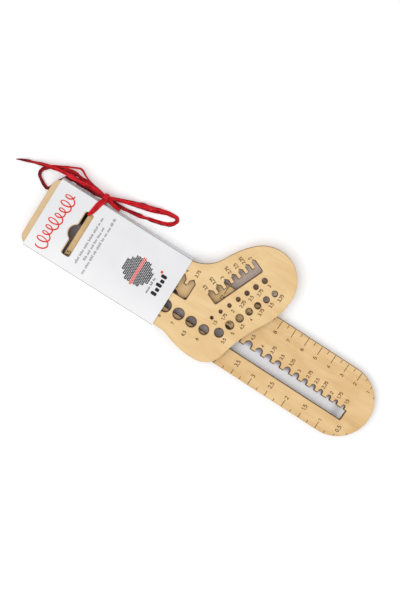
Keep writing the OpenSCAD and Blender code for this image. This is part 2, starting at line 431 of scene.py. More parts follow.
@dataclass(frozen=True)
class InkFinish:
    """Flat printed ink or a scorched mark, slightly uneven."""

    name: str
    colour: Colour
    worn: Colour
    roughness: float
    spread: float = 0.35

    def build(self) -> Material:
        """Make the material: the mark's colour worn to a paler one in small patches.

        Returns:
            The material.
        """
        r = Recipe(self.name)
        patch = r.noise(r.place((0.8, 0.8, 0.8)), 1.0, 4.0)
        grain = r.noise(r.place((0.3, 4.0, 1.0)), 1.0, 2.0)
        amount = (patch * 0.7 + grain * 0.3).step(0.42, 0.75) * self.spread
        colour = r.mix(amount, self.colour, self.worn)
        return r.finish(
            Base_Color=colour,
            Roughness=self.roughness + patch * 0.1,
            Normal=r.relief(grain, 0.01, 0.2),
            Specular_IOR_Level=0.15,
        )


@dataclass(frozen=True)
class RaffiaFinish:
    """Crumpled red paper raffia: lengthwise streaks, painted shade in its folds and a satin sheen.
    """

    name: str = "red_raffia"

    def build(self) -> Material:
        """Make the material.

        Streaks read the strand's own UV, U along it and V round it. The attribute "fold"
        carries painted shade: it is high in the valleys of the pleats and, on a strand, along
        one edge and on shaded stretches, which are darker.

        Returns:
            The material.
        """
        r = Recipe(self.name)
        uv = r.node("ShaderNodeTexCoord", output="UV")

        def along(u: float, v: float) -> Signal:
            """The strand's UV with each part scaled."""
            return r.scaled(uv, (u, v, 1.0))

        streak = r.noise(along(1.1, 26.0), 1.0, 3.0, 0.25)
        fine = r.noise(along(3.0, 70.0), 1.0, 2.0)
        crease = r.noise(along(9.0, 5.0), 1.0, 3.0, 0.8)
        shade = (streak * 0.75 + crease * 0.45 - 0.12).step(0.36, 0.66)
        red = r.coats(
            (0.95, 0.01, 0.022, 1.0),
            (shade, (0.38, 0.002, 0.01)),
            (fine.step(0.6, 0.82) * 0.35, (0.95, 0.05, 0.05)),
            # Painted shade from the attribute "fold".
            (r.attribute("fold") * 0.9, (0.13, 0.0, 0.003)),
        )
        relief = r.relief(streak * 0.6 + fine * 0.25 + crease * 0.5, 0.16, 0.55)
        return r.finish(
            Base_Color=red, Roughness=0.42 + crease * 0.2, Normal=relief, Specular_IOR_Level=0.22
        )


@dataclass(frozen=True)
class FloorFinish:
    """White sweep of paper, painted darker where the set lies at rest.

    The darker tones are painted shade and painted shadow, for what shows through the holes
    and slots. Being paint, they stay in place when a gauge slides.
    """

    name: str = "white_sweep_painted_shade"
    glow: float = 0.13
    foot_turn: float = 67.5
    foot_mid: Tuple[float, float] = (47.0, 70.5)
    foot_radii: Tuple[float, float] = (40.0, 19.0)

    def build(self) -> Material:
        """Make the material: matt white with a trace of its own light, and painted shade under
        the leg, the foot, the ruler, the sleeve, the tie and the notches, which don't give
        that light.

        Returns:
            The material.
        """
        r = Recipe(self.name)
        grain = r.noise(r.place((0.2, 0.2, 0.2)), 1.0, 2.0)
        along, across = r.axis(0), r.axis(1)
        # Masks of the painted shade and painted shadow under the set at rest.
        leg = abs(along - 14.0).step(62.0, 55.0) * abs(across).step(22.5, 18.0)
        turn = math.radians(self.foot_turn)
        down = along * math.cos(turn) + across * math.sin(turn) - self.foot_mid[0]
        aside = along * math.sin(turn) - across * math.cos(turn) - self.foot_mid[1]
        long, wide = self.foot_radii
        foot = ((down / long) ** 2.0 + (aside / wide) ** 2.0).step(1.05, 0.35)
        ruler = abs(along - 130.0).step(52.0, 44.0) * abs(across + 6.0).step(15.0, 8.0)
        sleeve = abs(along).step(53.0, 47.0) * leg
        gap = abs(along + 20.0).step(6.0, 4.0) * across.step(3.0, 6.0) * leg
        notches = (across + along * 0.0157).step(-3.6, -0.4).either(along.step(170.0, 179.0))
        # Painted shade under the ruler, the foot, the leg and the sleeve; painted shadow by the tie
        # and at the notch tops.
        white = r.coats(
            (0.93, 0.93, 0.935, 1.0),
            (grain, (0.95, 0.95, 0.955)),
            (ruler * 0.14, (0.42, 0.37, 0.43)),
            (foot * 0.45, (0.46, 0.25, 0.16)),
            (leg * 0.5, (0.3, 0.225, 0.225)),
            (sleeve * 0.7, (0.13, 0.09, 0.085)),
            (gap, (0.01, 0.008, 0.008)),
            (notches * ruler * 0.6, (0.16, 0.125, 0.19)),
        )
        # Painted shade: no glow where the set covers the floor.
        covered = leg.either(foot).either(ruler)
        return r.finish(
            Base_Color=white,
            Roughness=0.9,
            Emission_Color=r.coats((1.0, 1.0, 1.0, 1.0), (covered, (0.0, 0.0, 0.0))),
            Emission_Strength=self.glow,
        )


# ---------------------------------------------------------------- mesh helpers


def grid_faces(rows: int, columns: int, wrap: bool = False) -> Array:
    """Quads of a grid whose point (i, j) has index i * columns + j.

    Args:
        rows: Number of rows of points.
        columns: Number of points in a row.
        wrap: Whether each row closes on itself.

    Returns:
        An array of four indices per face.
    """
    i, j = np.meshgrid(
        np.arange(rows - 1), np.arange(columns if wrap else columns - 1), indexing="ij"
    )
    after = (j + 1) % columns
    a, b = i * columns + j, i * columns + after
    return np.stack([a, b, b + columns, a + columns], -1).reshape(-1, 4)


def arc(
    cx: float, cy: float, rx: float, ry: float, start: float, stop: float, steps: int = 12
) -> Array:
    """Points on an ellipse: centre plus radius times cosine and sine of the angle.

    Args:
        cx: Centre's first coordinate.
        cy: Centre's second coordinate.
        rx: Radius along the first axis.
        ry: Radius along the second axis.
        start: First angle in degrees.
        stop: Last angle in degrees.
        steps: Number of pieces.

    Returns:
        Points, one per row.
    """
    angle = np.radians(np.linspace(start, stop, steps + 1))
    return np.stack([cx + rx * np.cos(angle), cy + ry * np.sin(angle)], -1)


def end_quads(columns: int) -> Array:
    """Quads that close a ring whose points are mirrored in pairs, the first with the last.

    Args:
        columns: Number of points of the ring, which is even.

    Returns:
        Four indices per quad, facing outwards at the first row of grid_faces.
    """
    n = np.arange(columns // 2 - 1)
    return np.stack([columns - 1 - n, columns - 2 - n, n + 1, n], -1)


def unit(rows: Array, least: float = 1e-9) -> Array:
    """Rows scaled to length 1.

    Args:
        rows: Vectors, one per row.
        least: Length that shorter ones are divided by instead.

    Returns:
        The scaled rows.
    """
    return rows / np.maximum(np.linalg.norm(rows, axis=1, keepdims=True), least)


def distances(line: Array) -> Array:
    """Distance along a line at each of its points, from 0.

    Args:
        line: Points of the line, one per row.

    Returns:
        One distance per point.
    """
    return np.concatenate([[0.0], np.cumsum(np.linalg.norm(np.diff(line, axis=0), axis=1))])


def link(name: str, data: bpy.types.ID) -> Object:
    """Make an object and put it in the scene.

    Args:
        name: Its name.
        data: Its mesh, camera or light.

    Returns:
        The object.
    """
    made = bpy.data.objects.new(name, data)
    bpy.context.scene.collection.objects.link(made)
    return made


def ribbon(line: Array, width: Union[float, Array]) -> Patch:
    """A flat band along a line: each point moved half a width to both sides along the
    bisector of its neighbouring normals, lengthened at corners so that the width stays.

    Args:
        line: Points of the line, one per row.
        width: Width of the band, one for all or one per point.

    Returns:
        Points, left and right in turn, and quads whose normals point up.
    """
    step = unit(np.diff(line, axis=0))
    normal = np.stack([-step[:, 1], step[:, 0]], -1)
    first, last = normal[[0]], normal[[-1]]
    before, after = np.concatenate([first, normal]), np.concatenate([normal, last])
    mitre = unit(before + after, 1e-6)
    mitre /= np.maximum(np.sum(mitre * after, axis=1, keepdims=True), 0.6)
    half = np.broadcast_to(np.asarray(width, float) / 2, (len(line),))[:, None]
    points = np.stack([line + mitre * half, line - mitre * half], 1).reshape(-1, 2)
    return points, grid_faces(len(line), 2)


def blob(cx: float, cy: float, rx: float, ry: float, steps: int = 24) -> Array:
    """Outline of a filled ellipse, drawn as a band from its upper to its lower half.

    Args:
        cx: Centre's first coordinate.
        cy: Centre's second coordinate.
        rx: Radius along the first axis.
        ry: Radius along the second axis.
        steps: Number of points on each half.

    Returns:
        Points, upper and lower in turn, one per row.
    """
    angle = np.linspace(math.pi, 0.0, steps)
    x = cx + rx * np.cos(angle)
    rise = ry * np.sin(angle)
    low, high = np.stack([x, cy - rise], -1), np.stack([x, cy + rise], -1)
    return np.stack([high, low], 1).reshape(-1, 2)


def smooth_route(points: Sequence[Point], spacing: float, ease: float = 1.0) -> Array:
    """A cubic curve through the points, read again at even spacing. Its direction at each
    point is that from the neighbour before to the neighbour after, times ease.

    Args:
        points: The points to pass through.
        spacing: Distance between the points returned.
        ease: 1 for an even curve, less for one that turns more sharply at its points.

    Returns:
        Points along the curve, one per row.
    """
    p = np.asarray(points, float)
    t = np.linspace(0.0, len(p) - 1.0, 40 * (len(p) - 1) + 1)
    k = np.minimum(t.astype(int), len(p) - 2)
    f = (t - k)[:, None]
    a, b, c, d = (p[np.clip(k + n, 0, len(p) - 1)] for n in (-1, 0, 1, 2))
    leave, arrive = (c - a) * ease / 2, (d - b) * ease / 2
    fine = (2 * f**3 - 3 * f**2 + 1) * b + (f**3 - 2 * f**2 + f) * leave
    fine = fine + (3 * f**2 - 2 * f**3) * c + (f**3 - f**2) * arrive
    way = distances(fine)
    even = np.linspace(0.0, way[-1], max(8, int(way[-1] / spacing) + 1))
    return np.stack([np.interp(even, way, fine[:, n]) for n in range(3)], -1)


def inside(points: Array, outline: Array) -> Array:
    """Which points lie in a closed outline: those with an odd number of edges to their left.

    Args:
        points: Points to test, one per row.
        outline: Corners of the outline, one per row.

    Returns:
        True or False per point.
    """
    x, y = points[:, None, 0], points[:, None, 1]
    ax, ay = outline[:, 0], outline[:, 1]
    bx, by = np.roll(ax, -1), np.roll(ay, -1)
    spans = (ay > y) != (by > y)
    rise = np.where(by == ay, 1.0, by - ay)
    return (np.sum(spans & (x < ax + (y - ay) * (bx - ax) / rise), axis=1) % 2).astype(bool)


@dataclass
class Piece:
    """Points and faces of one visible piece, in millimetres, on their way to a mesh."""

    name: str
    body: Body
    slot: Slot
    points: List[Array] = field(default_factory=list)
    faces: List[Array] = field(default_factory=list)
    layers: Dict[str, List[Array]] = field(default_factory=dict)
    uv: List[Array] = field(default_factory=list)
    count: int = 0

    def add(self, points: Array, faces: Array, uv: Optional[Array] = None, **layers: Array) -> None:
        """Append a patch.

        Args:
            points: Three coordinates per row.
            faces: Indices into the points, the same number of corners for every patch.
            uv: Two coordinates per point, if the piece has a UV map.
            **layers: One number per point, for each named attribute.
        """
        self.points.append(points)
        self.faces.append(faces + self.count)
        if uv is not None:
            self.uv.append(uv)
        for key, value in layers.items():
            self.layers.setdefault(key, []).append(value)
        self.count += len(points)

    def add_skin(self, points: Array, faces: Array, uv: Array, fold: Array) -> None:
        """Append a grid of points with a UV map and the attribute "fold" of painted shade.

        Args:
            points: Three coordinates at each place of the grid.
            faces: Indices into the grid's points.
            uv: Two coordinates at each place.
            fold: Painted shade, one number at each place.
        """
        self.add(points.reshape(-1, 3), faces, uv.reshape(-1, 2), fold=fold.ravel())

    def add_flat(self, shape: Patch, height: float) -> None:
        """Append a flat patch at one height.

        Args:
            shape: Points with two coordinates, and faces.
            height: Its height.
        """
        points, faces = shape
        self.add(np.column_stack([points, np.full(len(points), height)]), faces)

    def build(self, material: Material, rounded: bool = False) -> Object:
        """Make the object, dress it, and put it on its body.

        Args:
            material: The finish.
            rounded: Whether its faces are shaded smooth.

        Returns:
            The object, at the origin.
        """
        points = np.concatenate(self.points) * MM
        faces = np.concatenate(self.faces)
        corners = faces.shape[1]
        mesh = bpy.data.meshes.new(self.name)
        mesh.vertices.add(len(points))
        mesh.loops.add(faces.size)
        mesh.polygons.add(len(faces))
        mesh.vertices.foreach_set("co", points.astype(np.float32).ravel())
        mesh.loops.foreach_set("vertex_index", faces.astype(np.int32).ravel())
        starts = np.arange(0, faces.size, corners, dtype=np.int32)
        mesh.polygons.foreach_set("loop_start", starts)
        if self.uv:
            table = np.concatenate(self.uv)[faces.ravel()].astype(np.float32)
            mesh.uv_layers.new(name="UVMap").data.foreach_set("uv", table.ravel())
        for key, values in self.layers.items():
            layer = mesh.attributes.new(key, "FLOAT", "POINT")
            layer.data.foreach_set("value", np.concatenate(values).astype(np.float32))
        mesh.update(calc_edges=True)
        mesh.polygons.foreach_set("use_smooth", np.full(len(faces), rounded))
        mesh.materials.append(material)
        piece = link(self.name, mesh)
        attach(piece, self.body.value)
        LOG.info("%s: %d points, %d faces", self.name, len(points), len(faces))
        return piece


def dress(node: str, material: Material) -> Object:
    """Give a node of the frame its finish.

    Args:
        node: The node's name.
        material: The finish.

    Returns:
        The node's object.
    """
    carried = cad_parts[node]
    carried.data.materials.clear()
    carried.data.materials.append(material)
    LOG.info("%s: dressed in %s", node, material.name)
    return carried


# ---------------------------------------------------------------- numerals


@dataclass(frozen=True)
class StrokeNumerals:
    """Thin numerals made of single strokes, as a laser scans them."""

    height: float = 1.85
    stroke: float = 0.27
    widen: float = 1.0
    gap: float = 0.2

    def glyph(self, sign: str) -> Tuple[List[Array], float]:
        """Strokes of one sign, in a box one unit high.

        Args:
            sign: A digit or a comma.

        Returns:
            Its strokes and its width.
        """

        def joined(*runs: Sequence[Tuple[float, float]]) -> List[Array]:
            """One stroke made of runs of points."""
            return [np.concatenate(runs)]

        six = joined(
            arc(0.62, 0.3, 0.59, 0.7, 105, 180, 7), arc(0.31, 0.3, 0.28, 0.3, 180, 540, 16)[1:]
        )
        table: Dict[str, List[Array]] = {
            "0": joined(arc(0.3, 0.5, 0.27, 0.5, 90, 450, 20)),
            "1": joined([(0.06, 0.76), (0.3, 1.0), (0.3, 0.0)]),
            "2": joined(arc(0.3, 0.7, 0.27, 0.3, 170, -30, 10), [(0.04, 0.0), (0.6, 0.0)]),
            "3": joined(
                arc(0.28, 0.76, 0.25, 0.24, 150, -80, 9), arc(0.28, 0.27, 0.3, 0.27, 80, -150, 10)
            ),
            "4": joined([(0.45, 0.0), (0.45, 1.0), (0.02, 0.3), (0.62, 0.3)]),
            "5": joined(
                [(0.55, 1.0), (0.12, 1.0), (0.08, 0.56)],
                arc(0.29, 0.32, 0.29, 0.32, 125, -150, 12),
            ),
            "6": six,
            "7": joined([(0.02, 1.0), (0.6, 1.0), (0.2, 0.0)]),
            "8": [
                arc(0.3, 0.75, 0.23, 0.25, -90, 270, 14),
                arc(0.3, 0.26, 0.28, 0.26, 90, 450, 16),
            ],
            "9": [np.array([0.6, 1.0]) - line for line in six],
            ",": joined([(0.12, 0.1), (0.02, -0.2)]),
        }
        width = {"1": 0.36, ",": 0.12}.get(sign, 0.6)
        return table[sign], width

    def lines(self, text: str) -> Tuple[List[Array], float]:
        """Strokes of a whole label from its lower left corner.

        Args:
            text: Digits and commas.

        Returns:
            The strokes in millimetres, and the label's width.
        """
        found: List[Array] = []
        reach = 0.0
        size = np.array([self.height * self.widen, self.height])
        for sign in text:
            strokes, width = self.glyph(sign)
            found += [(stroke + [reach, 0.0]) * size for stroke in strokes]
            reach += width + self.gap
        return found, (reach - self.gap) * size[0]

    def place(
        self, text: str, at: Tuple[float, float], reading: float, anchor: float
    ) -> List[Patch]:
        """Bands of a label, turned and moved into place.

        Args:
            text: Digits and commas.
            at: Point on the label's middle height.
            reading: Angle in degrees of the reading direction, from +X.
            anchor: 0 if the point is the label's start, 0.5 if it is its middle.

        Returns:
            A list of points and quads.
        """
        strokes, width = self.lines(text)
        turn = math.radians(reading)
        spin = np.array([[math.cos(turn), math.sin(turn)], [-math.sin(turn), math.cos(turn)]])
        shift = np.array([anchor * width, self.height / 2])
        return [ribbon((line - shift) @ spin + at, self.stroke) for line in strokes]


# ---------------------------------------------------------------- gauges


@dataclass
class Gauge:
    """What both plywood gauges share: plywood, rims of scorch and painted shade, and marks."""

    node: str
    body: Body
    slot: Slot
    rim: float = 0.85
    lift: float = 0.015
    mark_lift: float = 0.03
    same_level: float = 0.002
    scorch: float = 1.1
    # Painted shade on the rims: more scorch where the wood lies towards the direction below, less
    # where it lies away.
    blown_scorch: float = 0.65
    smoke: Tuple[float, float] = (0.5, 0.85)
    outline_scorch: float = 0.42
    hang_slot_scorch: float = 0.1
    hang_slot_below_x: float = -5.0
    label_rounds: int = 40

    def faces_of_node(self) -> Patch:
        """The node's points in millimetres and its triangles, equal points merged.

        Returns:
            Points and triangles.
        """
        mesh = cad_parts[self.node].data
        mesh.calc_loop_triangles()
        points = np.empty(len(mesh.vertices) * 3, np.float32)
        mesh.vertices.foreach_get("co", points)
        corners = np.empty(len(mesh.loop_triangles) * 3, np.int32)
        mesh.loop_triangles.foreach_get("vertices", corners)
        rounded = np.round(points.reshape(-1, 3).astype(float) / MM, 3)
        merged, index = np.unique(rounded, axis=0, return_inverse=True)
        return merged, index.reshape(-1)[corners].reshape(-1, 3)

    def rims(self, material: Material) -> Object:
        """Narrow bands round every cut on both faces, scorched and painted with shade at the cut.

        A face's boundary edges are those that one of its triangles has alone. Each gives a
        quad from the edge inwards along the bisectors of its end points. The attribute
        "scorch" falls to 0 from its value at the cut, which is high in holes and notches,
        higher still as painted shade where the wood lies towards +X and +Y of the cut and lower
        where it lies towards -X and -Y, and low at the outline, which is the loop of edges with
        the lowest X, and at the hang slot.

        Args:
            material: The plywood.

        Returns:
            The piece.
        """
        points, triangles = self.faces_of_node()
        piece = Piece(f"{self.node}_scorched_and_shaded_rims", self.body, self.slot)
        for level, side in ((points[:, 2].max(), 1), (points[:, 2].min(), -1)):
            near = np.abs(points[triangles, 2] - level) < self.same_level
            flat = triangles[np.all(near, axis=1)]
            edges = np.concatenate([flat[:, [0, 1]], flat[:, [1, 2]], flat[:, [2, 0]]])
            key = edges[:, 0] * len(points) + edges[:, 1]
            back = edges[:, 1] * len(points) + edges[:, 0]
            edges = edges[~np.isin(key, back)]
            a, b = points[edges[:, 0], :2], points[edges[:, 1], :2]
            along = unit(b - a)
            normal = np.stack([-along[:, 1], along[:, 0]], -1) * side
            total = np.zeros((len(points), 2))
            np.add.at(total, edges[:, 0], normal)
            np.add.at(total, edges[:, 1], normal)
            total = unit(total, 1e-6)
            height = level + side * self.lift

            def inward(ends: Array, start: Array) -> Array:
                """Points moved inwards by the rim's width, kept even at corners."""
                bisector = total[ends]
                stretch = np.maximum(np.sum(bisector * normal, axis=1, keepdims=True), 0.6)
                return start + bisector / stretch * self.rim

            label = np.arange(len(points))
            for _ in range(self.label_rounds):
                low = np.minimum(label[edges[:, 0]], label[edges[:, 1]])
                np.minimum.at(label, edges[:, 0], low)
                np.minimum.at(label, edges[:, 1], low)
                label = label[label]
            outer = label[edges[:, 0]] == label[edges[np.argmin(a[:, 0]), 0]]
            # Scorch at each cut, with painted shade on the side where the wood lies towards the set
            # direction.
            burnt = self.scorch + self.blown_scorch * (normal @ self.smoke)
            hanging = a[:, 0] < self.hang_slot_below_x
            burnt = np.where(hanging, self.hang_slot_scorch, burnt)
            burnt = np.where(outer, self.outline_scorch, burnt)

            quad = np.stack([a, b, inward(edges[:, 1], b), inward(edges[:, 0], a)], 1)
            lifted = np.concatenate([quad, np.full((*quad.shape[:2], 1), height)], -1)
            faces = np.arange(4 * len(edges)).reshape(-1, 4)
            scorch = (burnt[:, None] * [1.0, 1.0, 0.0, 0.0]).ravel()
            piece.add(lifted.reshape(-1, 3), faces, scorch=scorch)
        return piece.build(material)


@dataclass
class SockGauge(Gauge):
    """The sock-shaped gauge, with a size beside each hole and each notch."""

    node: str = "sock_gauge"
    body: Body = Body.SOCK
    slot: Slot = Slot.BIRCH_LIGHT
    foot_turn: float = 67.5
    numerals: StrokeNumerals = StrokeNumerals(1.95, 0.4, 0.95)
    hole_sizes: Tuple[Tuple[str, float, float], ...] = (
        ("10", 24.1, -18.2), ("9", 36.5, -17.6), ("8", 48.3, -16.7), ("7", 58.1, -16.4),
        ("6,5", 67.3, -18.0), ("6", 76.3, -16.6), ("5,5", 91.0, -8.6), ("5", 93.3, -1.6),
        ("4,5", 96.0, 5.1), ("4", 98.4, 12.0), ("3,75", 101.2, 19.2), ("3,5", 104.1, 26.4),
        ("3,25", 106.7, 33.3), ("1,5", 80.4, -1.8), ("1,75", 83.2, 4.5), ("2", 85.8, 10.4),
        ("2,25", 88.7, 17.5), ("2,5", 91.2, 23.4), ("2,75", 94.0, 29.4), ("3", 96.8, 35.9),
    )
    leg_notches: Tuple[Tuple[str, float], ...] = (
        ("3,75", 55.0), ("4", 48.3), ("4,5", 41.3), ("5", 33.7), ("5,5", 25.7), ("6", 17.1),
        ("6,5", 8.1), ("7", -1.5), ("8", -11.8),
    )
    leg_label_y: float = 16.2
    foot_notches: Tuple[Tuple[str, float], ...] = (
        ("3,5", 37.1), ("3,25", 43.3), ("3", 49.2), ("2,75", 55.0), ("2,5", 60.5),
        ("2,25", 65.6), ("2", 70.5),
    )
    foot_label_g: float = 54.9

    def labels(self, material: Material) -> Object:
        """The scorched sizes beside holes and notches.

        Args:
            material: The scorched mark.

        Returns:
            The piece.
        """
        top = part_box(self.node)[1].z / MM + self.mark_lift
        piece = Piece("sock_sizes", self.body, Slot.ENGRAVING)
        bands: List[Patch] = []
        for text, x, y in self.hole_sizes:
            bands += self.numerals.place(text, (x, y), 90.0, 0.5)
        for text, x in self.leg_notches:
            bands += self.numerals.place(text, (x, self.leg_label_y), 90.0, 0.0)
        turn = math.radians(self.foot_turn)
        for text, f in self.foot_notches:
            x = f * math.cos(turn) + self.foot_label_g * math.sin(turn)
            y = f * math.sin(turn) - self.foot_label_g * math.cos(turn)
            bands += self.numerals.place(text, (x, y), self.foot_turn + 90.0, 0.0)
        for band in bands:
            piece.add_flat(band, top)
        return piece.build(material)

    def build(self, plywood: Material, scorch: Material) -> None:
        """Dress the gauge and lay its rims and sizes on it.

        Args:
            plywood: Finish of the wood.
            scorch: Finish of the marks.
        """
        dress(self.node, plywood)
        self.rims(plywood)
        self.labels(scorch)


@dataclass
class RulerGauge(Gauge):
    """The ruler gauge, with an inch scale, a centimetre scale and sizes at its notches."""

    node: str = "ruler_gauge"
    body: Body = Body.RULER
    slot: Slot = Slot.BIRCH_WARM
    length: float = 218.0
    width: float = 46.6
    tip: float = 195.5
    pivot: float = 12.5
    skew: float = -0.9
    slot_top: float = -3.2
    notch_neck: float = 1.75
    tick: float = 0.4
    tick_inset: float = 0.25
    least_tick: float = 1.2
    notch_label_gap: float = 1.7
    numerals: StrokeNumerals = StrokeNumerals(1.95, 0.4, 0.98)
    inch_numerals: StrokeNumerals = StrokeNumerals(2.4, 0.42, 0.98)
    wide_numerals: StrokeNumerals = StrokeNumerals(2.0, 0.4, 1.25)
    inch_lengths: Tuple[float, float, float] = (5.1, 3.6, 2.2)
    inch_label: float = 6.1
    centimetre_lengths: Tuple[float, float] = (6.1, 2.5)
    centimetre_label: float = 8.7
    notches: Tuple[Tuple[str, float, float], ...] = (
        ("1,5", 1.5, 17.9), ("1,75", 1.75, 23.7), ("2", 2, 29), ("2,25", 2.25, 35.3),
        ("2,5", 2.5, 41), ("2,75", 2.75, 47.2), ("3", 3, 53.8), ("3,25", 3.25, 60.4),
        ("3,5", 3.5, 67.6), ("3,75", 3.75, 74.7), ("4", 4, 81.8), ("4,5", 4.5, 89.8),
        ("5", 5, 98.2), ("5,5", 5.5, 107.1), ("6", 6, 116.5), ("6,5", 6.5, 126.4),
        ("7", 7, 136.8), ("8", 8, 148), ("9", 9, 160.1), ("10", 10, 173.3),
    )

    def laid(self, points: Array) -> Array:
        """Turn the ruler's own coordinates, distance from the round tip and place across,
        into X and Y: mirrored along the length, turned by the skew about the pivot.

        Args:
            points: Distance and place across, one pair per row.

        Returns:
            X and Y, one pair per row.
        """
        turn = math.radians(self.skew)
        x, y = self.tip - points[:, 0] - self.pivot, points[:, 1]
        along = x * math.cos(turn) - y * math.sin(turn) + self.pivot
        across = x * math.sin(turn) + y * math.cos(turn)
        return np.stack([along, across], -1)

    def edge(self, distance: float) -> float:
        """Half width at a distance from the round tip, where the outline may be an arc."""
        half = self.width / 2
        return half if distance >= half else math.sqrt(half**2 - (half - distance) ** 2)

    def ticks(self) -> List[Patch]:
        """Bands of both scales' ticks, each from the outline inwards.

        Returns:
            A list of points and quads in the ruler's own coordinates.
        """
        bands: List[Patch] = []
        half, inset, least = self.width / 2, self.tick_inset, self.least_tick
        for k in range(1, int(self.length / QUARTER_INCH)):
            place = QUARTER_INCH * k
            long = self.inch_lengths[0 if k % 4 == 0 else 1 if k % 2 == 0 else 2]
            start = -self.edge(place) + inset
            stop = max(-half + long, start + least)
            bands.append(ribbon(np.array([(place, start), (place, stop)]), self.tick))
        for k in range(1, int(self.length / HALF_CENTIMETRE)):
            place = HALF_CENTIMETRE * k
            long = self.centimetre_lengths[k % 2]
            start = self.edge(place) - inset
            stop = min(half - long, start - least)
            bands.append(ribbon(np.array([(place, stop), (place, start)]), self.tick))
        return bands

    def labels(self) -> List[Patch]:
        """Bands of every number, which reads across the ruler.

        Returns:
            A list of points and quads in the ruler's own coordinates, unmirrored.
        """
        half = self.width / 2
        bands: List[Patch] = []

        def write(face: StrokeNumerals, text: str, place: float, y: float, anchor: float) -> None:
            """Add a label whose middle height is at a distance from the tip."""
            for points, faces in face.place(text, (-place, y), 90.0, anchor):
                bands.append((points * [-1.0, 1.0], faces))

        for k in range(1, int(self.length / HALF_INCH) + 1):
            text = f"{k / 2:g}".replace(".", ",")
            write(self.inch_numerals, text, HALF_INCH * k, -half + self.inch_label, 0.0)
        centimetre = 2 * HALF_CENTIMETRE
        for k in range(1, int(self.length / centimetre) + 1):
            write(self.wide_numerals, str(k), centimetre * k, half - self.centimetre_label, 0.5)
        for text, size, place in self.notches:
            start = self.slot_top + self.notch_neck + size / 2 + self.notch_label_gap
            write(self.numerals, text, place, start, 0.0)
        return bands

    def marks(self, material: Material) -> Object:
        """Scales and sizes on the ruler.

        Args:
            material: The scorched mark.

        Returns:
            The piece.
        """
        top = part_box(self.node)[1].z / MM + self.mark_lift
        piece = Piece("ruler_scales", self.body, Slot.ENGRAVING)
        for points, faces in self.ticks() + self.labels():
            placed = self.laid(points)
            a, b, c = (placed[faces[0, n]] for n in (0, 1, 2))
            upward = np.cross(b - a, c - a) > 0
            piece.add_flat((placed, faces if upward else faces[:, ::-1]), top)
        return piece.build(material)

    def build(self, plywood: Material, scorch: Material) -> None:
        """Dress the gauge and lay its rims and scales on it.

        Args:
            plywood: Finish of the wood.
            scorch: Finish of the marks.
        """
        dress(self.node, plywood)
        self.rims(plywood)
        self.marks(scorch)


# ---------------------------------------------------------------- card sleeve


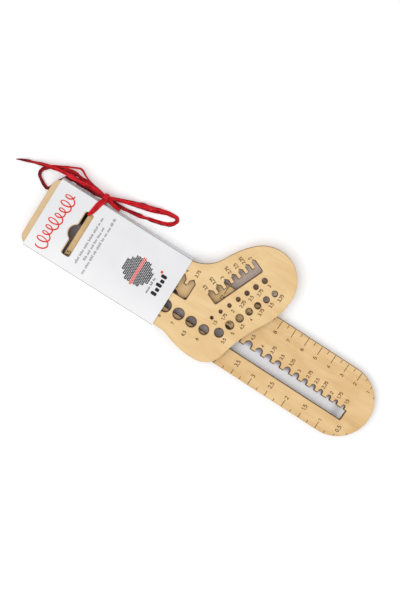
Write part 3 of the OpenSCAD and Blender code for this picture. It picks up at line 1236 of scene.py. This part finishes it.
@dataclass
class CardSleeve:
    """One blank of card folded round both gauges, with a hang slot and printed patterns."""

    node: str = "card_sleeve"
    length: float = 95.2
    width: float = 48.5
    card: float = 0.35
    low: float = 0.6
    top: float = 7.75
    fold: float = 0.6
    lap: float = 12.0
    crown: float = 0.22
    flare: float = 0.3
    lean: float = 1.0
    grid: float = 2.2
    print_lift: float = 0.02
    slot_mid: Tuple[float, float] = (-21.8, -0.5)
    slot_size: Tuple[float, float] = (6.4, 31.0)
    slot_corner: float = 1.5
    bulge_mid: Tuple[float, float] = (-22.8, -0.4)
    bulge: float = 5.6
    bulge_fillet: float = 1.5
    back_gap: float = 0.3
    yarn_at: Tuple[float, float] = (-37.6, -19.3)
    yarn_length: float = 38.0
    yarn_loops: float = 8.5
    stitch_mid: Tuple[float, float] = (22.2, -0.3)
    stitch_pitch: Tuple[float, float] = (2.15, 1.14)
    stitch_radius: float = 9.3
    bar_pitch: Tuple[float, float] = (-6.6, 3.1)
    bar_end: float = 40.2
    bar_starts: Tuple[float, float] = (36.0, 37.3)

    def section(self) -> Array:
        """Corner line of the folded card seen along X, from the glued lap round to the end
        of the back panel: straight runs joined by quarter circles.

        Returns:
            Y and Z of the outer face, one pair per row.
        """
        half, r = self.width / 2, self.fold
        lap_z = self.low - self.card
        parts = [
            [(self.lap - half + r, lap_z)],
            arc(r - half, lap_z + r, r, r, -90, -180, 4),
            arc(r - half, self.top - r, r, r, 180, 90, 5),
            np.column_stack([np.linspace(r - half, half - r, 23)[1:-1], np.full(21, self.top)]),
            arc(half - r, self.top - r, r, r, 90, 0, 5),
            arc(half - r, self.low + r, r, r, 0, -90, 5),
            np.column_stack([np.linspace(half - r, r - half, 23)[1:-1], np.full(21, self.low)]),
            [(r - half + self.back_gap, self.low)],
        ]
        return np.concatenate([np.asarray(part, float) for part in parts])

    def spread(self) -> Tuple[Array, Array]:
        """The section and the distance along the flat blank of each of its points."""
        line = self.section()
        return line, distances(line)

    def swell(self, x: Array, y: Array) -> Array:
        """How far the front panel stands proud: highest along its middle and at its mouths.

        Args:
            x: Places along the sleeve.
            y: Places across it.

        Returns:
            The rise in millimetres.
        """
        across = np.clip(1.0 - (y / (self.width / 2 - self.fold)) ** 2, 0.0, 1.0)
        mouth = np.abs(x / (self.length / 2)) ** 4
        return across * (self.crown + self.flare * mouth)

    def folded(self, x: Array, s: Array) -> Array:
        """Fold the flat blank: distance s along the section gives Y and Z, the front panel
        swells, and the narrow side on +Y leans out towards its foot, more so at the mouth
        that the foot of the sock looks out of.

        Args:
            x: Places along the sleeve.
            s: Distances along the flat blank.

        Returns:
            Points, one per row.
        """
        line, way = self.spread()
        y, z = np.interp(s, way, line[:, 0]), np.interp(s, way, line[:, 1])
        z = z + np.where(z > self.top - 1e-6, self.swell(x, y), 0.0)
        foot = np.clip((self.top - z) / (self.top - self.low), 0.0, 1.0)
        near = np.clip((y - 18.0) / 6.25, 0.0, 1.0)
        lean = self.lean * (0.35 + 0.65 * (x / self.length + 0.5))
        return np.stack([x, y + lean * foot * near, z], -1)

    def slot_outline(self) -> Array:
        """The hang slot: a rounded bar with a round bulge on its -X side, joined by fillets.

        Returns:
            X and Y, one pair per row, counter-clockwise.
        """
        (mx, my), k = self.slot_mid, self.slot_corner
        hx, hy = self.slot_size[0] / 2, self.slot_size[1] / 2
        left, f = mx - hx, self.bulge_fillet
        bx, by = self.bulge_mid
        reach, side = self.bulge + f, left - f - bx
        rise = math.sqrt(reach**2 - side**2)
        turn = math.degrees(math.atan2(rise, side))
        return np.concatenate(
            [
                arc(mx + hx - k, my - hy + k, k, k, -90, 0, 5),
                arc(mx + hx - k, my + hy - k, k, k, 0, 90, 5),
                arc(mx - hx + k, my + hy - k, k, k, 90, 180, 5),
                arc(left - f, by + rise, f, f, 0, turn - 180, 4),
                arc(bx, by, self.bulge, self.bulge, turn, 360 - turn, 22)[1:-1],
                arc(left - f, by - rise, f, f, 180 - turn, 0, 4),
                arc(mx - hx + k, my - hy + k, k, k, 180, 270, 5),
            ]
        )

    def blank(self) -> Patch:
        """The flat blank as triangles: a grid of points, the slot outlines in both panels and
        at the end of the lap, and a Delaunay net between them, open inside the slots.

        Returns:
            Points, X and distance along the blank, and triangles facing up.
        """
        line, way = self.spread()
        half = self.width / 2
        front = way[np.argmax((line[:, 1] > self.top - 1e-6))] + (half - self.fold)
        back = way[-1] - (half - self.fold - self.back_gap)
        lap = self.lap - half + self.fold
        slot = self.slot_outline()
        holes = [
            np.column_stack([slot[:, 0], front + slot[:, 1]]),
            np.column_stack([slot[:, 0], back - slot[:, 1]]),
        ]
        low, right = slot[slot[:, 1] < lap], self.slot_mid[0] + self.slot_size[0] / 2
        corner, stops = len(low) // 2, [(right, lap), (right - self.slot_size[0], lap)]
        end = np.concatenate([low[:corner], stops, low[corner:]])
        holes.append(np.column_stack([end[:, 0], lap - end[:, 1]]))
        xs = np.linspace(-self.length / 2, self.length / 2, int(self.length / self.grid) + 1)
        gx, gs = np.meshgrid(xs, way, indexing="ij")
        points = np.column_stack([gx.ravel(), gs.ravel()])
        keep = np.ones(len(points), bool)
        for hole in holes:
            keep &= ~inside(points + [0.0, 1e-4], hole)
            gap = np.linalg.norm(points[:, None] - hole[None], axis=2).min(axis=1)
            keep &= gap > 0.5
        points = np.concatenate([points[keep], *holes])
        first = int(keep.sum())
        edges: List[Tuple[int, int]] = []
        for hole in holes:
            count = len(hole)
            edges += [(first + n, first + (n + 1) % count) for n in range(count)]
            first += count
        net = delaunay_2d_cdt([Vector(p) for p in points], edges, [], 0, 1e-5)
        flat = np.array([tuple(p) for p in net[0]])
        triangles = np.array([tuple(t) for t in net[2] if len(t) == 3])
        middle = flat[triangles].mean(axis=1)
        a, b, c = flat[triangles[:, 0]], flat[triangles[:, 1]], flat[triangles[:, 2]]
        area = np.cross(b - a, c - a)
        kept = np.abs(area) > 1e-6
        for hole in holes:
            kept &= ~inside(middle, hole)
        triangles, area = triangles[kept], area[kept]
        triangles = np.where(area[:, None] > 0, triangles, triangles[:, ::-1])
        return flat, triangles

    def shell(self, material: Material) -> Object:
        """The folded card itself, thickened inwards.

        Args:
            material: The card's finish.

        Returns:
            The piece.
        """
        flat, triangles = self.blank()
        piece = Piece("folded_card_sleeve", Body.SLEEVE, Slot.CARD)
        points = self.folded(flat[:, 0], flat[:, 1])
        piece.add(points, triangles)
        shell = piece.build(material)
        wall = shell.modifiers.new("thickness", "SOLIDIFY")
        wall.thickness = self.card * MM
        wall.offset = -1.0
        wall.use_even_offset = True
        edge = shell.modifiers.new("shading", "EDGE_SPLIT")
        edge.split_angle = math.radians(35)
        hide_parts(self.node)
        return shell

    def printed(self, name: str, bands: List[Patch], ink: Material) -> Object:
        """Print bands on the front panel, following its swell.

        Args:
            name: The piece's name.
            bands: Points and quads in X and Y.
            ink: The ink.

        Returns:
            The piece.
        """
        piece = Piece(name, Body.SLEEVE, Slot.PRINT)
        for points, faces in bands:
            x, y = points[:, 0], points[:, 1]
            height = self.top + self.swell(x, y) + self.print_lift
            piece.add(np.column_stack([x, y, height]), faces)
        return piece.build(ink)

    def yarn_line(self) -> List[Patch]:
        """A loose line of looping yarn along Y: a rolling curve whose loops grow and shrink,
        with a stroke that is thicker on its way down.

        Returns:
            Its band.
        """
        t = np.linspace(0.0, 1.0, 420)
        turns = 2 * math.pi * self.yarn_loops * t
        size = 2.4 + 1.9 * np.sin(2 * math.pi * (1.35 * t + 0.12)) ** 2
        x = self.yarn_at[0] - size * np.cos(turns) - 0.8 * np.sin(2 * math.pi * t)
        y = self.yarn_at[1] + self.yarn_length * t - (0.9 + 0.35 * size) * np.sin(turns)
        width = 0.62 + 0.36 * np.abs(np.sin(turns / 2 + 0.4))
        return [ribbon(np.column_stack([x, y]), width)]

    def tally_rows(
        self, rows: Sequence[Tuple[float, float, float, float]], seed: int
    ) -> List[Patch]:
        """Rows of short upright tally strokes in uneven groups.

        Args:
            rows: Place along X, first and last Y, and stroke height of each row.
            seed: Seed of the groups' lengths.

        Returns:
            The strokes' bands.
        """
        random = np.random.default_rng(seed)
        bands: List[Patch] = []
        for x, first, last, tall in rows:
            y, left = first, int(random.integers(4, 9))
            while y < last:
                rise = tall * (1.0 if random.random() < 0.3 else 0.68)
                ends = np.array([(x + tall / 2, y), (x + tall / 2 - rise, y)])
                bands.append(ribbon(ends, 0.36))
                left -= 1
                y += 0.66 if left else 1.5
                left = left or int(random.integers(3, 9))
        return bands

    def stitch_patch(self) -> Tuple[List[Patch], List[Patch]]:
        """A round patch of knit stitches, pairs of slanted leaves in columns along Y, with
        the middle column apart.

        Returns:
            The bands of the black stitches and of the red ones.
        """
        black: List[Patch] = []
        red: List[Patch] = []
        t = np.linspace(0.0, 1.0, 9)[:, None]
        leaf = 0.14 + 0.62 * np.sin(math.pi * t[:, 0]) ** 0.8
        (mx, my), (px, py) = self.stitch_mid, self.stitch_pitch
        for column in range(-4, 5):
            for row in range(-9, 10):
                x, y = mx + px * column, my + py * row
                if (x - mx) ** 2 + (y - my) ** 2 > self.stitch_radius**2:
                    continue
                for side in (-1.0, 1.0):
                    start = np.array([x + 0.97 * side, y + 1.08])
                    stop = np.array([x + 0.1 * side, y - 0.28])
                    band = ribbon(start + (stop - start) * t, leaf)
                    (red if column == 0 else black).append(band)
        return black, red

    def bars(self) -> List[Patch]:
        """A row of thick rounded bars, short and long in turn.

        Returns:
            Their bands.
        """
        bands: List[Patch] = []
        t = np.linspace(0.0, 1.0, 15)
        bulge = 2.2 * np.sqrt(np.clip(1.0 - np.abs(2 * t - 1.0) ** 6, 0.0, 1.0)) + 0.02
        for number in range(5):
            y = self.bar_pitch[0] + self.bar_pitch[1] * number
            start = self.bar_starts[number % 2]
            line = np.column_stack([start + (self.bar_end - start) * t, np.full(len(t), y)])
            bands.append(ribbon(line, bulge))
        return bands

    def build(self, card: Material, inks: Mapping[str, Material]) -> None:
        """Fold the sleeve and print it.

        Args:
            card: The card's finish.
            inks: Inks named red, black and grey.
        """
        self.shell(card)
        self.printed("printed_yarn_line", self.yarn_line(), inks["red"])
        rows = [(-13.7, -16.5, 16.5, 1.7), (-10.0, -12.0, 12.0, 1.7), (-6.7, -20.0, 20.0, 1.7)]
        self.printed("printed_tallies", self.tally_rows(rows, 5), inks["grey"])
        black, red = self.stitch_patch()
        small = self.tally_rows([(33.6, -8.5, 2.5, 1.6)], 8)
        self.printed("printed_stitches", black + self.bars() + small, inks["black"])
        dot = (blob(35.4, 7.6, 0.9, 0.9), grid_faces(24, 2))
        self.printed("printed_red_stitches", red + [dot], inks["red"])


# ---------------------------------------------------------------- raffia


@dataclass
class RaffiaStrand:
    """One flat, pleated and crumpled strand of paper raffia along a route."""

    name: str
    route: Sequence[Point]
    width: float
    nodes: Tuple[str, ...]
    seed: int
    thickness: float = 0.3
    pleats: float = 2.0
    depth: float = 0.26
    roll: float = 35.0
    tip: Tuple[float, float] = (0.8, 0.8)
    tip_length: float = 7.0
    along_x: bool = False
    curl: float = 0.25
    sides: int = 36
    spacing: float = 0.45
    offset: Point = (0.0, 0.0, 0.0)
    ease: float = 0.45
    # Painted shade along the strand, from its start to its end.
    gloom: Tuple[float, ...] = (0.15, 0.15)
    swell: Tuple[float, ...] = (1.0, 1.0)
    table_gap: float = 0.04
    panel: Point = (47.8, 24.4, 1.6)
    panel_foot: float = 0.54

    def wave(self, s: Array, length: float, random: np.random.Generator) -> Array:
        """A slow random wave between about -1 and 1: three sines of uneven length.

        Args:
            s: Distances along the strand.
            length: Longest wavelength.
            random: Source of the phases.

        Returns:
            The wave at each distance.
        """
        phase = random.uniform(0, 2 * math.pi, 3)
        lengths = length * np.array([1.0, 0.61, 0.37])
        return (np.sin(2 * math.pi * s[:, None] / lengths + phase) * [0.5, 0.32, 0.25]).sum(axis=1)

    @staticmethod
    def along(part: Array, values: Sequence[float]) -> Array:
        """Values given at even steps along the strand, read in between.

        Args:
            part: Parts of the length, from 0 to 1.
            values: The values from the strand's start to its end.

        Returns:
            One value for each part.
        """
        return np.interp(part, np.linspace(0.0, 1.0, len(values)), values)

    def surface(self) -> Tuple[Array, Array, Array, Array]:
        """The strand's skin: at each point of the route an oval of the strand's width and
        thickness, bent by pleats along its length and by a curl, rolled about the route.

        Returns:
            Points, UV, the fold attribute of painted shade, and the route's points in millimetres.
        """
        random = np.random.default_rng(self.seed)
        line = smooth_route(self.route, self.spacing, self.ease) + self.offset
        s = np.arange(len(line)) * self.spacing
        end = s[-1]
        ahead = unit(np.gradient(line, axis=0))
        if self.along_x:
            side = np.array([1.0, 0.0, 0.0]) - ahead[:, :1] * ahead
        else:
            side = np.cross([0.0, 0.0, 1.0], ahead)
        side = unit(side)
        up = np.cross(ahead, side)
        turn = np.radians(self.roll) * self.wave(s, 26.0, random)
        across = side * np.cos(turn)[:, None] + up * np.sin(turn)[:, None]
        through = up * np.cos(turn)[:, None] - side * np.sin(turn)[:, None]

        taper = np.minimum(
            *(
                tip + (1 - tip) * np.clip(far / self.tip_length, 0, 1) ** 0.7
                for tip, far in zip(self.tip, (s, end - s))
            )
        )
        width = self.width * taper * (1.0 + 0.14 * self.wave(s, 17.0, random))
        width = width * self.along(s / end, self.swell)
        angle = 2 * math.pi * (np.arange(self.sides) + 0.5) / self.sides
        a = np.cos(angle)[None, :] * np.ones((len(s), 1))
        body = np.sign(np.sin(angle)) * np.abs(np.sin(angle)) ** 0.7
        b = body[None, :] * self.thickness / 2
        drift = 1.4 * self.wave(s, 30.0, random)[:, None]
        swing = self.pleats * math.pi * a + drift
        height = self.depth * (1.0 + 0.5 * self.wave(s, 9.0, random))[:, None]
        pleat = height * (np.sin(swing) + 0.35 * np.sin(2.3 * swing + 1.0))
        bend = self.curl * width[:, None] * (a**2 - 0.4) * self.wave(s, 21.0, random)[:, None]
        kink = 0.12 * self.wave(s, 4.2, random)[:, None]
        rise = b + (pleat + kink) * taper[:, None] + bend
        points = (
            line[:, None]
            + across[:, None] * (a * width[:, None] / 2)[..., None]
            + through[:, None] * rise[..., None]
        )
        uv = np.stack([s[:, None] / 10 + 0 * a, a * 0.5 + 0.5 + 0 * s[:, None]], -1)
        # Painted shade in the attribute "fold": pleat valleys that face down, one edge switching
        # side along the strand, and darker stretches.
        lower = np.clip(0.5 - 0.5 * np.sin(swing) * np.sign(through[:, 2:3]), 0.0, 1.0)
        flank = np.sign(np.sin(s / 6.5 + self.seed))[:, None]
        edge = np.clip((a * flank - 0.25) / 0.5, 0.0, 1.0) * 0.55
        painted_strand_shade = self.along(s / end, self.gloom) + 0.2 * self.wave(s, 14.0, random)
        fold = np.clip(lower**2 * 0.55 + edge + painted_strand_shade[:, None], 0, 1)
        return points, uv, fold, line

    def rest(self, points: Array) -> Array:
        """Keep points above the floor, and under the back panel where the strand is there.

        Args:
            points: The skin's points.

        Returns:
            The points, moved only in height.
        """
        x, y, z = points[..., 0], points[..., 1], points[..., 2]
        reach, half, low = self.panel
        under = (np.abs(x) < reach) & (np.abs(y) < half) & (z < low)
        z = np.clip(z, self.table_gap, np.where(under, self.panel_foot, np.inf))
        return np.stack([x, y, z], -1)

    def build(self, material: Material) -> Tuple[Object, Array]:
        """Make the strand, with closed ends.

        Args:
            material: The raffia.

        Returns:
            The object and the route's points in millimetres.
        """
        points, uv, fold, line = self.surface()
        points = self.rest(points)
        rows, columns = points.shape[:2]
        piece = Piece(self.name, Body.SLEEVE, Slot.RAFFIA)
        piece.add_skin(points, grid_faces(rows, columns, wrap=True), uv, fold)
        close = end_quads(columns)
        piece.faces += [close, close[:, ::-1] + (rows - 1) * columns]
        strand = piece.build(material, rounded=True)
        for node in self.nodes:
            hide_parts(node)
        return strand, line


@dataclass
class RaffiaBow:
    """The bow: a knot over the sleeve's +Y edge, a tie through the hang slot, two double
    loops and a pair of tails."""

    knot_at: Point = (-18.8, 27.6, 5.0)
    lump_at: Point = (-18.8, 28.7, 5.6)
    tie_left: Tuple[Point, ...] = (
        (-19.6, 27, 6.4), (-20.6, 25.8, 7.6), (-21.6, 24, 8.05), (-22.2, 21, 8.05),
        (-22.7, 18, 8.05), (-23.1, 15, 8.05), (-23.3, 13.6, 7.7), (-23.35, 12.8, 6.6),
        (-23.35, 12.6, 4), (-23.35, 12.8, 1.4), (-23.2, 13.6, 0.5), (-22.6, 15.6, 0.3),
        (-21.8, 19, 0.3), (-20.8, 23, 0.3), (-20.2, 25.2, 0.4), (-19.6, 26.6, 1.8),
        (-19.2, 27.2, 3.4),
    )
    tie_right: Tuple[Point, ...] = (
        (-18.8, 27, 6.6), (-19.3, 25.8, 7.7), (-20.2, 24, 8.05), (-21, 21, 8.05),
        (-21.6, 18, 8.05), (-22.2, 15.8, 8.05), (-22.9, 14.4, 7.9), (-23.3, 13.7, 7),
        (-23.35, 13.5, 4), (-23.3, 13.6, 1.4), (-22.6, 14.4, 0.5), (-21.6, 16.4, 0.3),
        (-20.6, 19, 0.3), (-19.4, 23, 0.3), (-18.9, 25.2, 0.4), (-18.6, 26.6, 1.8),
        (-18.6, 27.2, 3.4),
    )
    loop_left: Tuple[Point, ...] = (
        (-19.6, 28, 5.2), (-23, 29.2, 5.4), (-27.5, 29.6, 5.6), (-32, 30, 5.6),
        (-36, 30.4, 5.2), (-41, 31, 4.8), (-45.6, 30.6, 4.4), (-50.4, 29, 3.8),
        (-55.6, 26.6, 3.2), (-59.4, 24.4, 2.6), (-61.4, 22.2, 2), (-62.2, 19.6, 1.6),
        (-61.4, 17.4, 1.3), (-59, 15.6, 1), (-56.2, 13.9, 0.8), (-53.8, 13, 0.6),
        (-51.8, 14, 0.4), (-50.6, 17, 0.28), (-49.4, 21, 0.28), (-46.4, 25, 0.28),
        (-42, 26, 0.4), (-36, 26, 0.6), (-31, 26, 1), (-26, 26.2, 2), (-22, 27, 3.4),
        (-19.6, 27.4, 4.2),
    )
    loop_left_thin: Tuple[Point, ...] = (
        (-19.8, 28.2, 4.6), (-23.4, 29.2, 4.2), (-28.6, 30.4, 4.2), (-32.6, 31.4, 4.4),
        (-36.6, 33, 4.6), (-39.4, 34.6, 4.6), (-41.6, 35, 4.4), (-46, 33, 4),
        (-52, 29.6, 3.4), (-57, 27, 2.9), (-59.8, 25.2, 2.7),
    )
    loop_right: Tuple[Point, ...] = (
        (-18, 28.2, 5.2), (-16.2, 29, 5.1), (-13.2, 30.4, 4.7), (-8.6, 32, 4), (-5, 33.2, 3.5),
        (0, 35, 3), (5, 36.6, 2.5), (10.6, 38, 2), (17.2, 39.6, 1.4), (22, 40.4, 1),
        (25.4, 40.4, 0.8), (26.7, 38.8, 0.6), (25.6, 36.2, 0.5), (23, 34.2, 0.4),
        (19, 32.6, 0.3), (14.6, 31.4, 0.3), (8, 29.8, 0.5), (1, 28.6, 0.8), (-4, 28, 1.3),
        (-8, 27.8, 2), (-12, 28, 3), (-15.2, 28.2, 4), (-18, 28, 4.6),
    )
    loop_right_thin: Tuple[Point, ...] = (
        (-16.6, 28.6, 4.6), (-13, 29.8, 4.2), (-9, 31, 3.6), (-4.6, 32.2, 2.9),
        (0.6, 33.6, 2.3), (3.6, 34.2, 2), (7.2, 35, 1.6), (11.4, 36.2, 1.2),
        (15.8, 37.9, 0.9), (20, 39.6, 0.8),
    )
    tails: Tuple[Point, ...] = (
        (-79.1, 18.1, 0.6), (-75.4, 19.9, 1), (-71.2, 21.6, 1.7), (-67.2, 23, 2.6),
        (-62.6, 24.7, 3.7), (-58.2, 26, 4.7), (-53.2, 27.3, 5.6), (-48, 28, 6.3),
        (-42.8, 28.3, 6.8), (-37.6, 28.5, 7), (-33, 29, 7.1), (-28, 29.2, 7),
        (-23.2, 28.8, 6.4), (-18.8, 28, 5.8), (-15.2, 27.4, 5.2), (-11.6, 26.6, 4.4),
        (-7.2, 25.9, 3.6),
    )

    def strands(self) -> List[Tuple[RaffiaStrand, str]]:
        """Every free strand with what its far end does.

        Returns:
            Pairs of a strand and a far end.
        """

        def strand(
            part: str, route: Sequence[Point], width: float, seed: int, **looks: Any
        ) -> RaffiaStrand:
            """The strand that stands for one node of free raffia."""
            node = f"raffia_{part}"
            return RaffiaStrand(f"{node}_cord", route, width, (node,), seed, **looks)

        left = strand(
            "loop_left", self.loop_left, 2.4, 3, tip=(1.0, 0.8), roll=50.0, ease=0.2,
            gloom=(0.1, 0.25, 0.75, 0.95, 0.9), swell=(1.25, 1.1, 0.9, 0.95, 0.9),
        )
        left_thin = strand(
            "loop_left_thin", self.loop_left_thin, 1.5, 7, depth=0.12, ease=0.2,
            gloom=(0.1, 0.0), swell=(0.8, 0.7, 1.1, 1.2),
        )
        right = strand(
            "loop_right", self.loop_right, 2.9, 11, tip=(0.8, 0.75), ease=0.4,
            gloom=(0.0, 0.0, 0.1, 0.25, 0.6), swell=(0.9, 1.1, 0.95, 0.9, 0.7),
        )
        right_thin = strand(
            "loop_right_thin", self.loop_right_thin, 1.5, 15, depth=0.12, gloom=(0.4, 0.1)
        )
        tails = strand(
            "tails", self.tails, 2.9, 21, tip=(0.34, 0.95), roll=30.0, ease=0.5,
            gloom=(1.0, 0.15, 0.0, 0.1, 0.0), swell=(0.55, 0.8, 1.05, 1.0, 0.95),
        )
        return [
            (left, "object"), (left_thin, "bare"), (right, "object"), (right_thin, "bare"),
            (tails, "bare"),
        ]

    def free_strands(self, material: Material) -> None:
        """Make every free strand.

        Args:
            material: The raffia.
        """
        for strand, far_end in self.strands():
            piece, line = strand.build(material)
            path = line * MM
            strand.width * MM

    def tie(self, material: Material) -> None:
        """The two strands that run from the knot over the front panel, down through both
        slots and back under the sleeve.

        Args:
            material: The raffia.
        """
        for name, route, seed, shift in (
            ("raffia_tie_left_strand", self.tie_left, 31, (1.15, 0.3, 0.1)),
            ("raffia_tie_right_strand", self.tie_right, 35, (1.45, 0.45, 0.22)),
        ):
            node = name.replace("_strand", "")
            strand = RaffiaStrand(
                name, route, 2.2, (node,), seed, along_x=True, roll=14.0, curl=0.08,
                depth=0.14, thickness=0.26, tip=(0.9, 0.8), offset=shift, gloom=(0.0, 0.0),
                swell=(1.0, 1.05, 0.9, 0.65, 0.65, 0.9, 1.0),
            )
            strand.build(material)

    def knot(self, material: Material) -> None:
        """The knot: a squarish lump under two pleated wraps.

        The lump is a ball drawn out towards a cube, by a norm of power 3.2, with ridges that
        run round it. Each wrap is a band swept round a tilted ellipse.

        Args:
            material: The raffia.
        """
        piece = Piece("raffia_knot_lump", Body.SLEEVE, Slot.RAFFIA)
        rows, columns, pole, power = 36, 64, 0.02, 3.2
        turns = 2 * math.pi * (np.arange(columns) + 0.5) / columns
        u, v = np.meshgrid(np.linspace(pole, math.pi - pole, rows), turns, indexing="ij")
        direction = np.stack([np.cos(u), np.sin(u) * np.cos(v), np.sin(u) * np.sin(v)], -1)
        cube = (np.abs(direction) ** power).sum(axis=-1) ** (-1 / power)
        ridge = np.sin(7.0 * u + 1.2 * np.sin(v + 0.6)) + 0.5 * np.sin(3 * v + 4 * u)
        radius = 1.5 * cube * (1.0 + 0.09 * ridge)
        points = direction * radius[..., None] * [1.1, 1.15, 1.1] + self.lump_at
        uv = np.stack([v / 2, u / 3], -1)
        # Painted shade between the ridges.
        fold = np.clip(0.4 - 0.5 * ridge, 0, 1) ** 2
        close = end_quads(columns)
        piece.add_skin(points, grid_faces(rows, columns, wrap=True)[:, ::-1], uv, fold)
        piece.faces += [close[:, ::-1], close + (rows - 1) * columns]
        lump = piece.build(material, rounded=True)
        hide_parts("raffia_knot")
        for name, tilt, lean, width, radii in (
            ("raffia_knot_wrap_front", 18.0, 8.0, 2.6, (2.1, 2.3)),
            ("raffia_knot_wrap_cross", -52.0, -12.0, 1.6, (2.3, 2.4)),
        ):
            self.wrap(name, tilt, lean, width, radii, material)

    def wrap(
        self, name: str, tilt: float, lean: float, width: float, radii: Tuple[float, float],
        material: Material,
    ) -> None:
        """A closed band round the knot: an ellipse in the plane across X, turned by tilt
        about Z and by lean about Y, with a pleated oval section.

        Args:
            name: The piece's name.
            tilt: Turn about Z in degrees.
            lean: Turn about Y in degrees.
            width: Width of the band.
            radii: The ellipse's radii along Y and Z.
            material: The raffia.
        """
        rows, columns = 72, 24
        t, k = np.meshgrid(
            np.linspace(-0.5 * math.pi, 1.5 * math.pi, rows, endpoint=False),
            np.linspace(0, 2 * math.pi, columns, endpoint=False),
            indexing="ij",
        )
        a = np.cos(k)
        pleat = 0.16 * np.sin(3.2 * math.pi * a + 0.8 * np.sin(t)) + 0.05 * np.sin(9 * t)
        grow = 0.16 * np.sin(k) + pleat
        x = a * width / 2 * (1 + 0.12 * np.sin(2 * t + 0.7))
        y, z = (radii[0] + grow) * np.cos(t), (radii[1] + grow) * np.sin(t)
        around = Matrix.Rotation(math.radians(tilt), 3, "Z")
        around = around @ Matrix.Rotation(math.radians(lean), 3, "Y")
        points = np.stack([x, y, z], -1) @ np.array(around).T + self.lump_at
        uv = np.stack([t / 2, a * 0.5 + 0.5], -1)
        # Painted shade in the valleys of the pleats.
        fold = np.clip(0.3 - 3.0 * pleat, 0, 1) ** 2
        piece = Piece(name, Body.SLEEVE, Slot.RAFFIA)
        faces = grid_faces(rows + 1, columns, wrap=True) % (rows * columns)
        piece.add_skin(points, faces, uv, fold)
        band = piece.build(material, rounded=True)
        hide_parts("raffia_knot")


# ---------------------------------------------------------------- studio


@dataclass
class Studio:
    """Camera, floor and lights."""

    target: Point = (64.8, 5.5, 8.0)
    right: Tuple[float, float] = (0.8434, 0.5368)
    towards: Point = (-0.044, 0.15, 1.0)
    distance: float = 1.0
    view_height: float = 0.375
    sensor: float = 36.0
    sun: float = 1.25
    sun_angle: float = 70.0
    sun_from: Point = (-0.3, -0.36, 1.0)
    sky: float = 0.66

    def camera(self) -> None:
        """A long lens straight above, tilted a little towards +Y and -X."""
        back = Vector(self.towards).normalized()
        right = Vector((*self.right, 0.0))
        right = (right - back * right.dot(back)).normalized()
        up = back.cross(right)
        data = bpy.data.cameras.new("studio_camera")
        data.sensor_fit = "VERTICAL"
        data.sensor_height = self.sensor
        data.lens = self.sensor * self.distance / self.view_height
        data.clip_start, data.clip_end = 0.05, 20.0
        camera = link("studio_camera", data)
        place = Vector(self.target) * MM + back * self.distance
        turn = Matrix((right, up, back)).transposed().to_4x4()
        camera.matrix_world = Matrix.Translation(place) @ turn
        bpy.context.scene.camera = camera

    def floor(self) -> None:
        """A wide white floor with painted shade under the set, a grid of points at height 0."""
        size = np.linspace(-3.0, 3.0, 9)
        x, y = np.meshgrid(size, size, indexing="ij")
        points = np.stack([x, y, 0 * x], -1).reshape(-1, 3)
        mesh = bpy.data.meshes.new("floor")
        mesh.from_pydata(points.tolist(), [], grid_faces(9, 9)[:, ::-1].tolist())
        mesh.materials.append(FloorFinish().build())
        floor = link("floor", mesh)

    def lights(self) -> None:
        """One broad soft light from -X and -Y, high up, and an even white sky."""
        data = bpy.data.lights.new("soft_key", "SUN")
        data.energy = self.sun
        data.angle = math.radians(self.sun_angle)
        light = link("soft_key", data)
        light.rotation_euler = Vector(self.sun_from).to_track_quat("Z", "Y").to_euler()
        world = bpy.data.worlds.new("white_sky")
        world.use_nodes = True
        back = world.node_tree.nodes["Background"]
        back.inputs["Color"].default_value = (1.0, 1.0, 1.0, 1.0)
        back.inputs["Strength"].default_value = self.sky
        bpy.context.scene.world = world
        bpy.context.scene.view_settings.view_transform = "Standard"


def main() -> None:
    """Build the set: camera and cords first, then card, gauges and studio."""
    studio = Studio()
    studio.camera()
    raffia = RaffiaFinish().build()
    bow = RaffiaBow()
    bow.free_strands(raffia)
    bow.tie(raffia)
    bow.knot(raffia)

    inks = {
        "red": InkFinish("red_ink", (0.74, 0.045, 0.035, 1.0), (0.85, 0.2, 0.16, 1.0), 0.4),
        "black": InkFinish("black_ink", (0.012, 0.012, 0.014, 1.0), (0.06, 0.06, 0.065, 1.0), 0.38),
        "grey": InkFinish("grey_ink", (0.13, 0.13, 0.14, 1.0), (0.3, 0.3, 0.31, 1.0), 0.42),
    }
    CardSleeve().build(CardFinish().build(), {key: ink.build() for key, ink in inks.items()})

    scorch = InkFinish("scorched_mark", (0.1, 0.036, 0.008, 1.0), (0.2, 0.095, 0.03, 1.0), 0.75)
    mark = scorch.build()
    pale = PlywoodFinish(
        "pale_birch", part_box("sock_gauge")[0].z / MM, 3.0, (0.865, 0.625, 0.325, 1.0),
        (0.77, 0.515, 0.235, 1.0), (0.56, 0.32, 0.12, 1.0), 0.0,
    )
    warm = PlywoodFinish(
        "warm_birch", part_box("ruler_gauge")[0].z / MM, 3.0, (0.835, 0.58, 0.29, 1.0),
        (0.7, 0.45, 0.19, 1.0), (0.5, 0.27, 0.095, 1.0), 340.0,
    )
    SockGauge().build(pale.build(), mark)
    RulerGauge().build(warm.build(), mark)
    studio.floor()
    studio.lights()


if __name__ == "__main__":
    logging.basicConfig(level=logging.INFO, format="%(name)s: %(message)s")
    main()
